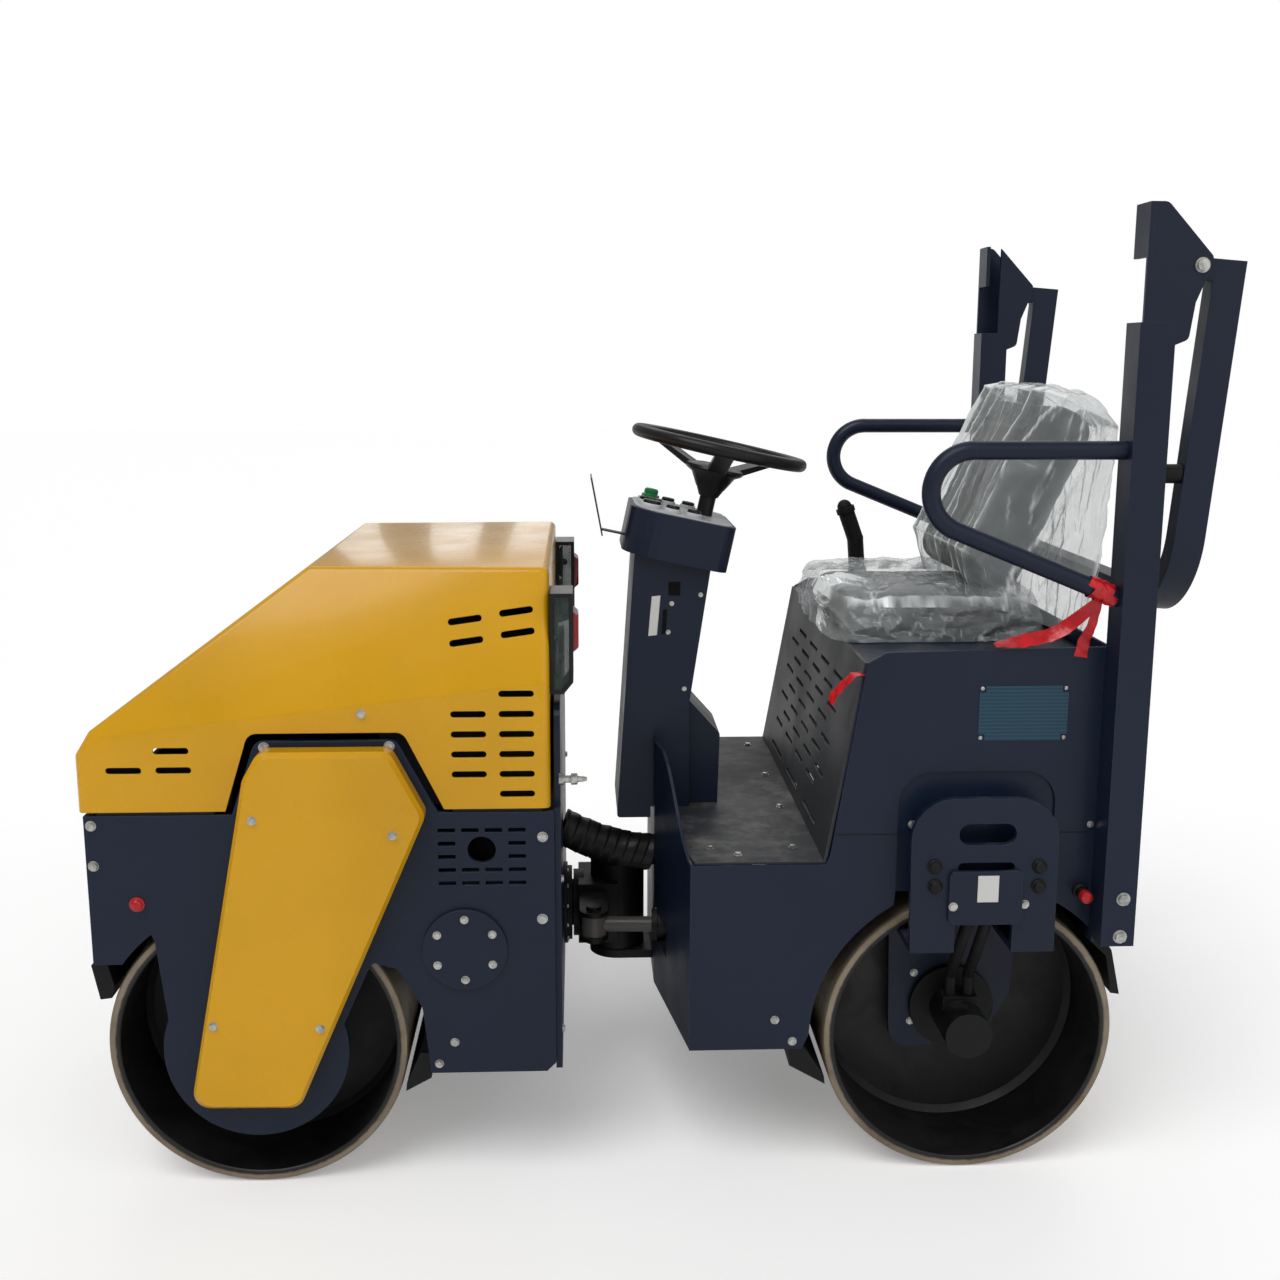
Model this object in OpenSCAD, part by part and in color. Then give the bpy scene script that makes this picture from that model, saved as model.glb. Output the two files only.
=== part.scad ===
// Ride-on tandem road roller with an articulated frame and a folding roll bar.
// +X is forward, +Y is the machine's left, +Z is up. Lengths are millimetres.

/* [Overall] */
// Distance between the two drum axles
wheelbase = 1350; // [1340:2:1360]
// Clearance beside the drums and round moving plates
move_gap = 8; // [6:1:10]
// Joint line where one part sits on another
seat_gap = 0.3; // [0.1:0.1:0.4]
// Running clearance of a pin in its bore
pin_gap = 0.5; // [0.3:0.1:0.8]

/* [Drums] */
// Drum diameter
drum_d = 560; // [550:2:566]
// Drum width
drum_w = 900; // [860:10:940]
// Thickness of the drum shell
shell_t = 22; // [14:1:26]
// Depth of the end discs below the drum's rim
disc_recess = 180; // [150:5:200]
// Thickness of the end discs
disc_t = 16; // [10:1:24]
// Diameter of the stub axles
axle_d = 70; // [50:2:90]
// Chamfer on the drum's rim
rim_chamfer = 6; // [2:1:8]

/* [Front frame] */
// Thickness of the front side plates
plate_t = 12; // [8:1:16]
// Rear face of the front frame, ahead of the middle
frame_rear = 103; // [100:1:106]
// Front plate ahead of the front drum
nose_gap = 10; // [8:1:14]
// Front side plates' top above the engine deck
plate_h = 128; // [120:1:132]
// Front side plates' underside below the axle
plate_drop = 52; // [40:1:60]
// Engine deck above the drums
deck_gap = 52; // [46:1:60]
// Radius of the hub disc at the foot of each leg
hub_r = 172; // [160:1:180]
// Radius of the round side covers
disc_cover_r = 78; // [60:1:80]
// Depth of the yellow leg covers
cover_d = 45; // [30:1:50]

/* [Hood] */
// Gap under the hood
hood_gap = 6; // [5:1:9]
// Hood's nose ahead of the front plate
nose_step = 10; // [8:1:14]
// Height of the hood
hood_h = 434; // [425:1:445]
// Sheet thickness of the hood
hood_t = 4; // [3:0.5:6]
// Outside bend radius of the hood
hood_r = 14; // [10:1:18]

/* [Rear body] */
// Thickness of the rear side panels
panel_t = 6; // [4:1:8]
// Floor above the drums
floor_gap = 75; // [70:1:80]
// Thickness of the floor plate
floor_t = 5; // [4:1:8]
// Seat deck above the floor
seat_h = 377; // [370:1:384]
// Front face of the rear bulkhead at its middle, behind the middle of the machine
bulk_x = 86; // [84:1:90]
// Thickness of the bulkhead
bulk_t = 6; // [4:1:8]
// Half width of the control console's column
column_hw = 110; // [100:1:116]
// Height of the seat cushion's top over the deck
cushion_h = 74; // [64:1:84]
// Length of the seat back along its lean
back_l = 411; // [390:1:420]
// Lean of the seat back
back_lean = 25; // [22:1:27]

/* [Roll bar] */
// Width of a post across the machine
post_w = 66; // [62:1:70]
// Depth of a post along the machine
post_d = 62; // [56:1:64]
// Thickness of the bracket plates
bracket_t = 8; // [6:1:9]
// Depth of the hoop's legs
leg_d = 55; // [50:1:58]
// Height of the hoop's pivot above the seat deck
hinge_h = 700; // [690:1:710]
// Distance of the hoop's pivot behind the posts
hinge_step = 38; // [36:1:40]
// Lean of the folded hoop
fold_deg = 4.5; // [4:0.1:4.6]
// Diameter of the pivot pins
hinge_pin_d = 16; // [12:1:18]

/* [Joint] */
// Distance of the steering pin behind the middle
pivot_x = 13; // [11:1:14]
// Height of the swinging axis above the axles
swing_h = 105; // [103:1:108]
// Diameter of the steering pin
steer_pin_d = 50; // [40:2:54]
// Sideways distance of the rod's eye from the middle
eye_y = 165; // [160:1:168]
// Rod's eye ahead of the middle
eye_x = 40; // [38:1:42]
// Height of the steering cylinder above the swinging axis
ram_h = 15; // [13:1:17]
// Outside diameter of the cylinder barrel
barrel_d = 56; // [50:1:60]
// Diameter of the rod
rod_d = 32; // [26:1:34]

/* [Steering wheel] */
// Radius of the wheel to the middle of its rim
wheel_r = 172; // [165:1:176]
// Radius of the rim's section
rim_r = 13; // [11:1:15]
// Lean of the steering wheel
wheel_deg = 12.4; // [11:0.1:13]
// Depth of the hub's lower end under the rim
hub_drop = 104; // [96:1:108]

/* [Hidden] */
$fn = 48;
xf = wheelbase / 2;
xr = -wheelbase / 2;
axle_z = drum_d / 2;
drum_r = drum_d / 2;
hw = drum_w / 2;
deck_z = drum_d + deck_gap;
plate_top = deck_z + plate_h;
plate_low = axle_z - plate_drop;
frame_front = xf + drum_r + nose_gap;
nose_low = axle_z + (drum_r + 15) * sin(36.3);
nose_x = frame_front + nose_step;
floor_z = drum_d + floor_gap;
seat_deck_z = floor_z + seat_h;
seat_front = xr + drum_r;
post_rear = drum_r - xr;
hinge_z = seat_deck_z + hinge_h;
hinge_x = post_rear + hinge_step;
swing_z = axle_z + swing_h;
ram_z = swing_z + ram_h;
plate_in = hw + move_gap;
plate_out = plate_in + plate_t;
hood_y = plate_out - 2;
panel_in = hw + move_gap + 2;
panel_out = panel_in + panel_t;
post_out = panel_out + post_w;
post_front = post_rear - post_d;
leg_off = leg_d / 2 + 27.5;
rear_reach = hinge_x + (leg_off + leg_d / 2) * cos(fold_deg) + 14 * sin(fold_deg);
x_shift = (rear_reach - nose_x) / 2;
hood_low = plate_top + hood_gap;
hood_top = hood_low + hood_h;
hood_rear = frame_rear + plate_t + 6;
leg_w = post_w - 2 * bracket_t - 12;
leg_y = panel_out + post_w / 2;
ear_gap = 0.5;
barrel_x = seat_front + 50;
barrel_y = 185;
bow_d = 51;
knee_x = -bulk_x - 74;
head_c = [-bulk_x - 37, floor_z + 517];
wheel_c = [-bulk_x - 140, 0, floor_z + 740];
panel_rear = 56 - post_rear;
lamp_y = hood_y - 133;
lamp_z = hood_low + 206;
hang_in = drum_d - 130;
hang_low = hang_in + 46;
back_r = 40;
hang_y = panel_out + 56;
motor_y = hw - disc_recess + 30;

// Corner of a polygon rounded to a radius
function unit(v) = v / norm(v);
function corner(a, b, c, r) =
    let (u = unit(a - b), w = unit(c - b), half = acos(u * w) / 2)
    let (m = b + unit(u + w) * r / sin(half), p = b + u * r / tan(half), q = b + w * r / tan(half))
    let (a0 = atan2(p.y - m.y, p.x - m.x), a1 = atan2(q.y - m.y, q.x - m.x))
    let (da = ((a1 - a0 + 540) % 360) - 180)
    [for (i = [0:6]) m + r * [cos(a0 + da * i / 6), sin(a0 + da * i / 6)]];
function flat2(p) = [p[0], p[1]];
function rounded(pts) =
    let (n = len(pts))
    [for (i = [0:n - 1])
        let (a = pts[(i + n - 1) % n], b = pts[i], c = pts[(i + 1) % n])
        each b[2] == 0 ? [flat2(b)] : corner(flat2(a), flat2(b), flat2(c), b[2])];
// Arc of points about a centre
function arc(c, r, a0, a1, n) =
    [for (i = [0:n]) c + r * [cos(a0 + (a1 - a0) * i / n), sin(a0 + (a1 - a0) * i / n)]];

// Extrusions of a side profile across the machine, of a front profile along it, and of a plan upward
module xz(y0, y1) translate([0, y1, 0]) rotate([90, 0, 0]) linear_extrude(y1 - y0) children();
module yz(x0, x1) translate([x0, 0, 0]) rotate([90, 0, 90]) linear_extrude(x1 - x0) children();
module xy(z0, z1) translate([0, 0, z0]) linear_extrude(z1 - z0) children();
module box(x0, x1, y0, y1, z0, z1) translate([x0, y0, z0]) cube([x1 - x0, y1 - y0, z1 - z0]);
module cyl_x(x0, x1, y, z, r) translate([x0, y, z]) rotate([0, 90, 0]) cylinder(r = r, h = x1 - x0);
module cyl_y(x, y0, y1, z, r) translate([x, y1, z]) rotate([90, 0, 0]) cylinder(r = r, h = y1 - y0);
module cyl_z(x, y, z0, z1, r) translate([x, y, z0]) cylinder(r = r, h = z1 - z0);
module both() {
    children();
    mirror([0, 1, 0]) children();
}
// Round-ended slot in the plane of its profile
module slot(x, z, l, h, tilt) translate([x, z]) rotate(tilt) {
    square([l - h, h], center = true);
    translate([(l - h) / 2, 0]) circle(d = h, $fn = 16);
    translate([(h - l) / 2, 0]) circle(d = h, $fn = 16);
}

// Smooth drum: rolled shell with two recessed end discs
module drum(x) translate([x, 0, axle_z]) rotate([90, 0, 0]) {
    ri = drum_r - shell_t;
    y1 = hw - disc_recess;
    rotate_extrude($fn = 96) polygon([[ri, -hw], [drum_r - rim_chamfer, -hw], [drum_r, -hw + rim_chamfer],
        [drum_r, hw - rim_chamfer], [drum_r - rim_chamfer, hw], [ri, hw]]);
    for (s = [-1, 1]) translate([0, 0, s * (y1 - disc_t / 2)]) difference() {
        cylinder(r = ri + 1, h = disc_t, center = true);
        cylinder(d = axle_d + 2 * pin_gap, h = disc_t + 2, center = true);
    }
}
module rear_drum() color([0.25, 0.22, 0.2]) drum(xr);
module front_drum() color([0.25, 0.22, 0.2]) drum(xf);

// Outline of a front side plate with its leg, hub disc and drum arches
function plate_outline() = concat(
    [[frame_rear + plate_t, plate_low + 17], [frame_rear + plate_t, plate_top], [xf - 349, plate_top]],
    corner([xf - 349, plate_top], [xf - 277, plate_top + 137], [xf - 23, plate_top + 137], 20),
    corner([xf - 277, plate_top + 137], [xf - 23, plate_top + 137], [xf + 23, plate_top], 20),
    [[xf + 23, plate_top], [frame_front, plate_top], [frame_front, nose_low]],
    arc([xf, axle_z], drum_r + 15, 36.3, 52, 6),
    [[xf + 176, drum_d - 60]],
    arc([xf, axle_z], hub_r, 22, -197, 36),
    [[xf - 210, axle_z + 152]],
    corner([xf - 210, axle_z + 152], [xf - 222, axle_z + 172], [xf - drum_r + 25, axle_z + 156], 8),
    corner([xf - 222, axle_z + 172], [xf - drum_r + 10, axle_z + 156], [xf - drum_r - 29, axle_z + 90], 30),
    corner([xf - drum_r + 10, axle_z + 156], [xf - drum_r - 31, axle_z + 80], [xf - drum_r - 45, plate_low], 30),
    [[xf - drum_r - 45, plate_low], [frame_rear + plate_t + 17, plate_low]]);
module front_side_plates() color([0.14, 0.16, 0.21]) both() difference() {
    xz(plate_in, plate_out) polygon(plate_outline());
    xz(plate_in - 1, plate_out + 1) {
        for (i = [0:4]) for (j = [0:3]) if (!((i == 1 || i == 2) && (j == 1 || j == 2)))
            translate([frame_rear + 80 + 43 * j, plate_top - 34 - 25.4 * i]) square([32, 8], center = true);
        translate([frame_rear + 145, plate_top - 72]) circle(r = 26);
    }
}
// Cross plates between the side plates: nose plate, engine deck and rear bulkhead
module front_frame() color([0.14, 0.16, 0.21]) difference() {
    w = plate_in - seat_gap;
    union() {
        box(frame_front - plate_t, frame_front, -w, w, nose_low, plate_top);
        box(frame_rear, frame_front, -w, w, deck_z - plate_t, deck_z);
        yz(frame_rear, frame_rear + plate_t) polygon(rounded([[-w, plate_low, 0], [w, plate_low, 0],
            [w, plate_top, 0], [plate_in - 28, plate_top, 0], [plate_in - 28, plate_top + 190, 40],
            [28 - plate_in, plate_top + 190, 40], [28 - plate_in, plate_top, 0], [-w, plate_top, 0]]));
    }
    cyl_x(frame_rear - 1, frame_rear + plate_t + 1, 0, swing_z, steer_pin_d + pin_gap);
}
module engine_block() color([0.2, 0.2, 0.2])
    box(xf - 375, xf + 25, -230, 230, deck_z + seat_gap, hood_top - 195);
// Swing bearing bolted to the rear of the front frame
module osc_bearing() color([0.1, 0.1, 0.11]) translate([frame_rear - seat_gap, 0, swing_z]) rotate([0, -90, 0])
    difference() {
        union() {
            cylinder(r = 88, h = 7);
            cylinder(r = 80, h = 17);
        }
        translate([0, 0, -1]) cylinder(r = steer_pin_d + pin_gap, h = 30);
    }
function cover_outline(m) = rounded([[xf - 35 - m, plate_top + 126 - m, 25],
    [xf - 268 + m * 0.6, plate_top + 126 - m, 25], [xf - 330 + m, plate_top + 5, 25],
    [xf - 83 + m * 0.5, axle_z - 99 + m, 30], [xf + 118 - m, axle_z - 96 + m, 30],
    [xf - 6 - m, plate_top + 75, 40]]);
module cover_solid(m, y1) hull() {
    xz(plate_out + seat_gap, y1 - 10) polygon(cover_outline(m));
    xz(y1 - 10, y1) polygon(cover_outline(m + 8));
}
module leg_covers() color([0.83, 0.58, 0.02]) both() difference() {
    cover_solid(0, plate_out + cover_d);
    xz(plate_out, plate_out + cover_d - 6) polygon(cover_outline(10));
}
module side_covers() color([0.14, 0.16, 0.21]) both()
    cyl_y(frame_rear + 179, plate_out + seat_gap, plate_out + 8, plate_top - 263, disc_cover_r);
// Rubber strips that the hood rests on
module hood_seals() color([0.03, 0.03, 0.03]) both()
    for (x = [[hood_rear + 14, xf - 375], [xf + 55, frame_front - 25]])
    box(x[0], x[1], hood_y - 10, hood_y, plate_top + seat_gap, hood_low - seat_gap);
module front_hubs() color([0.1, 0.1, 0.11]) both() {
    y1 = hw - disc_recess;
    cyl_y(xf, y1 + 8, plate_in - seat_gap, axle_z, 105);
    cyl_y(xf, y1 - disc_t + 2, y1 + 8, axle_z, axle_d / 2);
}
// Scraper beams before and behind a drum
module front_scrapers() color([0.06, 0.06, 0.065]) {
    r = drum_r + 7;
    zn = nose_low - seat_gap;
    xz(-plate_in + 18, plate_in - 18) polygon([[frame_front - plate_t, zn], [frame_front + 3, zn],
        [frame_front + 15, zn - 13], [frame_front + 2, zn - 81], [xf + r * cos(19.5), axle_z + r * sin(19.5)],
        [xf + r * cos(23), axle_z + r * sin(23) + 6]]);
    w = plate_in - seat_gap;
    xz(-w, w) polygon([[xf - drum_r - 47, axle_z - 18], [xf - drum_r - 23, axle_z - 18],
        [xf + r * cos(196), axle_z + r * sin(196)], [xf + (r + 3) * cos(199), axle_z + (r + 3) * sin(199)],
        [xf - drum_r - 43, axle_z - 68]]);
}
module rear_scrapers() color([0.06, 0.06, 0.065]) {
    r = drum_r + 8;
    w = panel_in - seat_gap;
    xz(-w, w) polygon([[seat_front + 69, axle_z - 5], [seat_front + 45, axle_z - 5],
        [xr + r * cos(-16), axle_z + r * sin(-16)], [xr + (r + 3) * cos(-19), axle_z + (r + 3) * sin(-19)],
        [seat_front + 65, axle_z - 55]]);
    z = axle_z + drum_r * 0.68 - seat_gap;
    xz(-w + 18, w - 18) polygon([[57 - post_rear, z], [25 - post_rear, z], [5 - post_rear, z - 28],
        [-post_rear - 15, z - 118], [xr + r * cos(165), axle_z + r * sin(165)], [15 - post_rear, z - 40]]);
}

// Sheet hood: rounded shell with a leaning upper side, sloping nose and leg cut-outs
function side_y(x, z) = let (a = [xf + 263, hood_y - hood_r, hood_low + 139],
    b = [hood_rear + hood_r, hood_y - hood_r, hood_low + 232],
    c = [hood_rear + hood_r, hood_y - 87, hood_top - hood_r], n = cross(b - a, c - b))
    (n * a - n.x * x - n.z * z) / n.y;
module hood_shape(r) hull() {
    yl = hood_y - hood_r;
    zt = hood_top - hood_r;
    xb = hood_rear + hood_r;
    xn = nose_x - hood_r;
    xs = xf - 118;
    for (p = [[xb, hood_y - 87, zt], [xs, side_y(xs, zt), zt], [xb, yl, hood_low + 232],
        [xf + 263, yl, hood_low + 139], [xn, yl, hood_low + 102], [xn, yl, hood_low - 46],
        [xb, yl, hood_low - 46]]) for (s = [-1, 1])
        translate([p.x, s * p.y, p.z]) sphere(r = r, $fn = 24);
}
module hood() color([0.83, 0.58, 0.02]) difference() {
    hood_shape(hood_r);
    hood_shape(hood_r - hood_t);
    box(0, nose_x + 100, -hood_y - 100, hood_y + 100, hood_low - 100, hood_low);
    both() xz(hood_y - 98, hood_y + 32) {
        polygon(rounded([[xf - 363, plate_top - 40, 0], [xf - 363, plate_top, 0], [xf - 289, plate_top + 151, 22],
            [xf - 11, plate_top + 151, 22], [xf + 37, plate_top, 0], [xf + 37, plate_top - 40, 0]]));
        for (i = [0:5]) slot(hood_rear + 60, hood_low + 215 - 37.4 * i, 64, 12, 0);
        for (i = [1:4]) slot(hood_rear + 147, hood_low + 215 - 37.4 * i, 64, 12, 0);
        for (i = [0, 1]) {
            slot(hood_rear + 60 - 3 * i, hood_low + 357 - 37 * i, 62, 12, -8);
            slot(hood_rear + 153 - 3 * i, hood_low + 342 - 37 * i, 62, 12, -8);
            slot(xf + 124 + 89 * i, hood_low + 78, 64, 12, 0);
        }
        slot(xf + 127, hood_low + 114, 64, 12, 0);
    }
}
// Combined lamps on the hood's rear wall
function lamp_outline(m) = [[hood_rear - m, lamp_z + m], [hood_rear - 25 + 0.3 * m, lamp_z + m],
    [hood_rear - 43 + m, lamp_z + 22 + 0.3 * m], [hood_rear - 43 + m, lamp_z + 186 - m],
    [hood_rear - m, lamp_z + 186 - m]];
module lamp_housings() color([0.05, 0.05, 0.055]) both() translate([-seat_gap, 0, 0]) difference() {
    xz(lamp_y, lamp_y + 100) polygon(lamp_outline(0));
    xz(lamp_y - 5, lamp_y + 105) polygon(lamp_outline(8));
}
module lamp_lenses() color([0.8, 0.85, 0.85]) both() translate([-seat_gap, 0, 0]) {
    for (y = [lamp_y + 4, lamp_y + 91]) xz(y, y + 5) polygon(lamp_outline(8 + seat_gap));
    xz(lamp_y + 14, lamp_y + 86) polygon(rounded([[hood_rear - 43 - seat_gap, lamp_z + 76, 0],
        [hood_rear - 43 - seat_gap, lamp_z + 150, 0], [hood_rear - 53, lamp_z + 142, 7],
        [hood_rear - 53, lamp_z + 84, 7]]));
}

// Rear side panels: floor step, slanted seat box end and drum arch
function panel_outline() = concat(
    [[-bulk_x - bow_d, floor_z - floor_t], [seat_front + 5, floor_z - floor_t], [seat_front - 2, floor_z + 12]],
    corner([seat_front - 2, floor_z + 12], [seat_front - 61, seat_deck_z], [seat_front - 95, seat_deck_z + 18], 12),
    corner([seat_front - 61, seat_deck_z], [seat_front - 97, seat_deck_z + 20], [panel_rear, seat_deck_z + 28], 12),
    [[panel_rear, seat_deck_z + 28], [panel_rear, axle_z + drum_r * 0.78]],
    arc([xr, axle_z], drum_r + 30, 135.5, 117, 6),
    [[xr - 140, drum_d + 30]],
    corner([xr - 140, drum_d + 30], [xr - 140, drum_d + 247], [xr + 152, drum_d + 247], 60),
    corner([xr - 140, drum_d + 247], [xr + 152, drum_d + 247], [xr + 152, drum_d + 30], 60),
    [[xr + 152, drum_d + 30]],
    arc([xr, axle_z], drum_r + 30, 60, 2, 16),
    [[seat_front + 43, axle_z - 18], [-bulk_x - bow_d, axle_z - 18]]);
module rear_side_panels() color([0.14, 0.16, 0.21]) both() xz(panel_in, panel_out) polygon(panel_outline());
// Bow-fronted bulkhead whose wings rise to the console
function bow(d) = [[-bulk_x - bow_d - d, panel_in - seat_gap], [-bulk_x - d, 150], [-bulk_x - d, -150],
    [-bulk_x - bow_d - d, -panel_in + seat_gap]];
function bow_x(y) = -bulk_x - bow_d * (y - 150) / (panel_in - seat_gap - 150);
function wing(y) = floor_z + 151 - 0.5 * (151 + floor_t) * (1 - cos(180 * (y - 200) / (panel_in - 200)));
module front_bulkhead() color([0.14, 0.16, 0.21]) intersection() {
    xy(axle_z - 80, floor_z + 265) polygon(concat(bow(0), [for (i = [3:-1:0]) bow(bulk_t)[i]]));
    difference() {
        yz(-200, 0) polygon(concat([[-panel_in, axle_z - 18]],
            [for (i = [12:-1:0]) let (y = 200 + (panel_in - 200) * i / 12) [-y, wing(y)]],
            [[-column_hw - 2, wing(200)], [-column_hw - 2, floor_z - floor_t - seat_gap],
            [column_hw + 2, floor_z - floor_t - seat_gap], [column_hw + 2, wing(200)]],
            [for (i = [0:12]) let (y = 200 + (panel_in - 200) * i / 12) [y, wing(y)]],
            [[panel_in, axle_z - 18]]));
        box(-200, 0, 105, 265, ram_z - 34, ram_z + 34);
    }
}
module floor_plate() color([0.25, 0.26, 0.28]) xy(floor_z - floor_t, floor_z) difference() {
    xb = -bulk_x - bow_d - bulk_t - 2;
    polygon([[xb, panel_in - seat_gap], [seat_front + 3, panel_in - seat_gap],
        [seat_front + 3, -panel_in + seat_gap], [xb, -panel_in + seat_gap],
        [-bulk_x - bulk_t - 2, -150], [-bulk_x - bulk_t - 2, 150]]);
}
// Slanted, slotted front of the seat box with a kick strip
module seat_box_front() color([0.17, 0.18, 0.2]) difference() {
    w = panel_in - seat_gap;
    xz(-w, w) polygon([[seat_front + 5, floor_z + seat_gap], [seat_front + 9, floor_z + seat_gap],
        [seat_front + 7, floor_z + 8], [seat_front - 57, seat_deck_z], [seat_front - 63, seat_deck_z],
        [seat_front - 63, seat_deck_z - 4], [seat_front + 1, floor_z + 8]]);
    yz(seat_front - 85, seat_front + 35) {
        for (i = [0:7]) for (j = [0:3]) translate([-270 + 150 * j + (i % 2) * 75, floor_z + 85 + 32 * i])
            square([96, 9], center = true);
        for (j = [-1:1]) translate([240 * j, floor_z + 28]) square([150, 9], center = true);
    }
}
module seat_deck() color([0.14, 0.16, 0.21])
    box(-post_front, seat_front - 63 - seat_gap, -panel_in + seat_gap, panel_in - seat_gap,
    seat_deck_z - 5, seat_deck_z);
module rear_panel() color([0.14, 0.16, 0.21]) box(panel_rear - 6, panel_rear - seat_gap, -panel_out, panel_out,
    axle_z + drum_r * 0.68, seat_deck_z + 28);

// Control console: column, knee cover, tilted head and instrument panel
function head_z(x) = head_c.y + (x - head_c.x) * tan(12);
module console_column() color([0.14, 0.16, 0.21]) difference() {
    xz(-column_hw, column_hw) polygon(rounded([[76 - bulk_x, floor_z - 23, 6], [-bulk_x + 6, floor_z - 23, 0],
        [-bulk_x + 6, floor_z + seat_gap, 0], [knee_x, floor_z + seat_gap, 0], [knee_x, floor_z + 225, 0],
        [knee_x - 41, head_z(knee_x - 41), 0], [40 - bulk_x, head_z(40 - bulk_x), 0]]));
    xz(-column_hw + 4, column_hw - 4) polygon([[68 - bulk_x, floor_z - 35], [-bulk_x + 2, floor_z - 35],
        [-bulk_x + 2, floor_z - 5], [knee_x + 4, floor_z - 5], [knee_x + 4, floor_z + 225],
        [knee_x - 36, head_c.y - 32], [32 - bulk_x, head_c.y - 32]]);
}
module knee_cover() color([0.14, 0.16, 0.21]) xz(-85, 85)
    polygon(rounded([[knee_x - seat_gap, floor_z + seat_gap, 0],
    [knee_x - 62, floor_z + seat_gap, 0], [knee_x - 66, floor_z + 150, 8], [knee_x - seat_gap, floor_z + 223, 0]]));
module head_frame() translate([head_c.x, 0, head_c.y + seat_gap]) rotate([0, -12, 0]) children();
module head_plan(m)
    polygon(rounded([[105 - m, -140 + m, 70 - m], [105 - m, 140 - m, 70 - m], [-112 + m, 140 - m, 30 - m],
    [-112 + m, -140 + m, 30 - m]]));
module console_head() color([0.14, 0.16, 0.21]) head_frame() linear_extrude(92) head_plan(0);
module console_panel() color([0.75, 0.76, 0.78]) head_frame() {
    translate([0, 0, 92 + seat_gap]) linear_extrude(3) head_plan(8);
    for (p = [[62, -62, 24], [62, 0, 26], [62, 62, 16], [20, -84, 16], [20, 84, 16], [-24, -84, 16], [-24, 84, 16]])
        translate([p.x, p.y, 94]) cylinder(r = p.z, h = 8);
}
module console_visor() color([0.1, 0.1, 0.11]) {
    head_frame() box(105 + seat_gap, 150, 12, 40, 24, 27);
    translate([head_c.x, 0, head_c.y]) xz(-60, 60) polygon([[140, 46], [143, 46], [165, 164], [162, 165]]);
}
module wheel_frame() translate(wheel_c) rotate([0, -wheel_deg, 0]) children();
module steering_column() color([0.05, 0.05, 0.055]) intersection() {
    wheel_frame() translate([0, 0, -200]) cylinder(r = 17, h = 200 - hub_drop - seat_gap);
    head_frame() translate([-300, -300, 92 + seat_gap + 3 + seat_gap]) cube(600);
}
module steering_wheel() color([0.05, 0.05, 0.055]) wheel_frame() {
    rotate_extrude() translate([wheel_r, 0]) circle(r = rim_r);
    translate([0, 0, -hub_drop]) cylinder(r1 = 20, r2 = 48, h = hub_drop - 48);
    for (a = [90, 210, 330]) rotate([0, 0, a])
        xz(-19, 19) polygon([[20, -58], [30, -46], [wheel_r - 6, 4], [wheel_r - 6, -4], [44, -56]]);
}

// Seat: base, cushion and back
function soft_box(x0, x1, z0, z1, r) = rounded([[x0, z0, r], [x1, z0, r], [x1, z1, r], [x0, z1, r]]);
module seat_base() color([0.08, 0.08, 0.085]) {
    box(xr - 135, xr + 195, -200, 200, seat_deck_z + seat_gap, seat_deck_z + 9);
}
module seat_cushion() color([0.05, 0.05, 0.055])
    translate([xr, 0, seat_deck_z]) intersection() {
        xz(-240, 240) polygon(soft_box(-150, 220, 9 + 2 * seat_gap, cushion_h, 26));
        xy(0, 200) polygon(soft_box(-150, 220, -240, 240, 45));
    }
// The back leans about its lower rear edge, whose rounding rests on the cushion
module seat_back() color([0.05, 0.05, 0.055])
    translate([xr - 90, 0, seat_deck_z + cushion_h + seat_gap + back_r]) rotate([0, -back_lean, 0])
    intersection() {
        xz(-235, 235) polygon(soft_box(-back_r, 112 - back_r, -back_r, back_l - back_r, back_r));
        yz(-100, 200) polygon(soft_box(-235, 235, -back_r, back_l - back_r, 55));
    }
module armrests() color([0.12, 0.13, 0.16]) both() translate([0, leg_y, 0]) {
    r = 16.5;
    c = [xr + 50, seat_deck_z + 313];
    a = 22.2;
    difference() {
        union() {
            cyl_x(-post_front - 20, c.x + 3, 0, c.y + 73, r);
            translate([c.x, 0, c.y]) rotate([90, 0, 0]) rotate([0, 0, -90 + a]) rotate_extrude(angle = 180 - a)
                translate([73, 0]) circle(r = r + 0.3);
            translate([c.x + 73 * sin(a), 0, c.y - 73 * cos(a)]) rotate([0, -90 - a, 0]) translate([0, 0, -3])
                cylinder(r = r, h = 348);
        }
        box(-post_rear - 300, -post_front + seat_gap, -100, 100, seat_deck_z - 100, seat_deck_z + 600);
    }
}

// Roll bar posts with folding brackets, and the folded hoop
function bracket_outline() = rounded([[-post_front - 5, hinge_z - 135, 0],
    [-post_rear + 4, hinge_z - 135, 10], [-post_rear - 23, hinge_z - 124, 12], [-post_rear - 31, hinge_z - 62, 0],
    [-post_rear - 51, hinge_z - 12, 0], [-post_rear - 57, hinge_z + 14, 8], [-post_rear + 27, hinge_z + 104, 16],
    [-post_front - 5, hinge_z + 104, 6]]);
module rops_posts() color([0.14, 0.16, 0.21]) both() {
    y0 = panel_out + seat_gap;
    box(-post_rear, -post_front, y0, post_out, drum_d - 72, hinge_z - 95);
    xz(post_out - bracket_t, post_out - seat_gap) polygon(bracket_outline());
    difference() {
        xz(y0, y0 + bracket_t - seat_gap) polygon(bracket_outline());
        box(-post_rear + 23, 0, y0 - 1, y0 + bracket_t, hinge_z - 95, hinge_z + 200);
    }
    box(-post_front - 13, -post_front - 5, y0, post_out, hinge_z + 13, hinge_z + 104);
    cyl_y(-hinge_x, y0, post_out, hinge_z, hinge_pin_d / 2);
}
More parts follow.
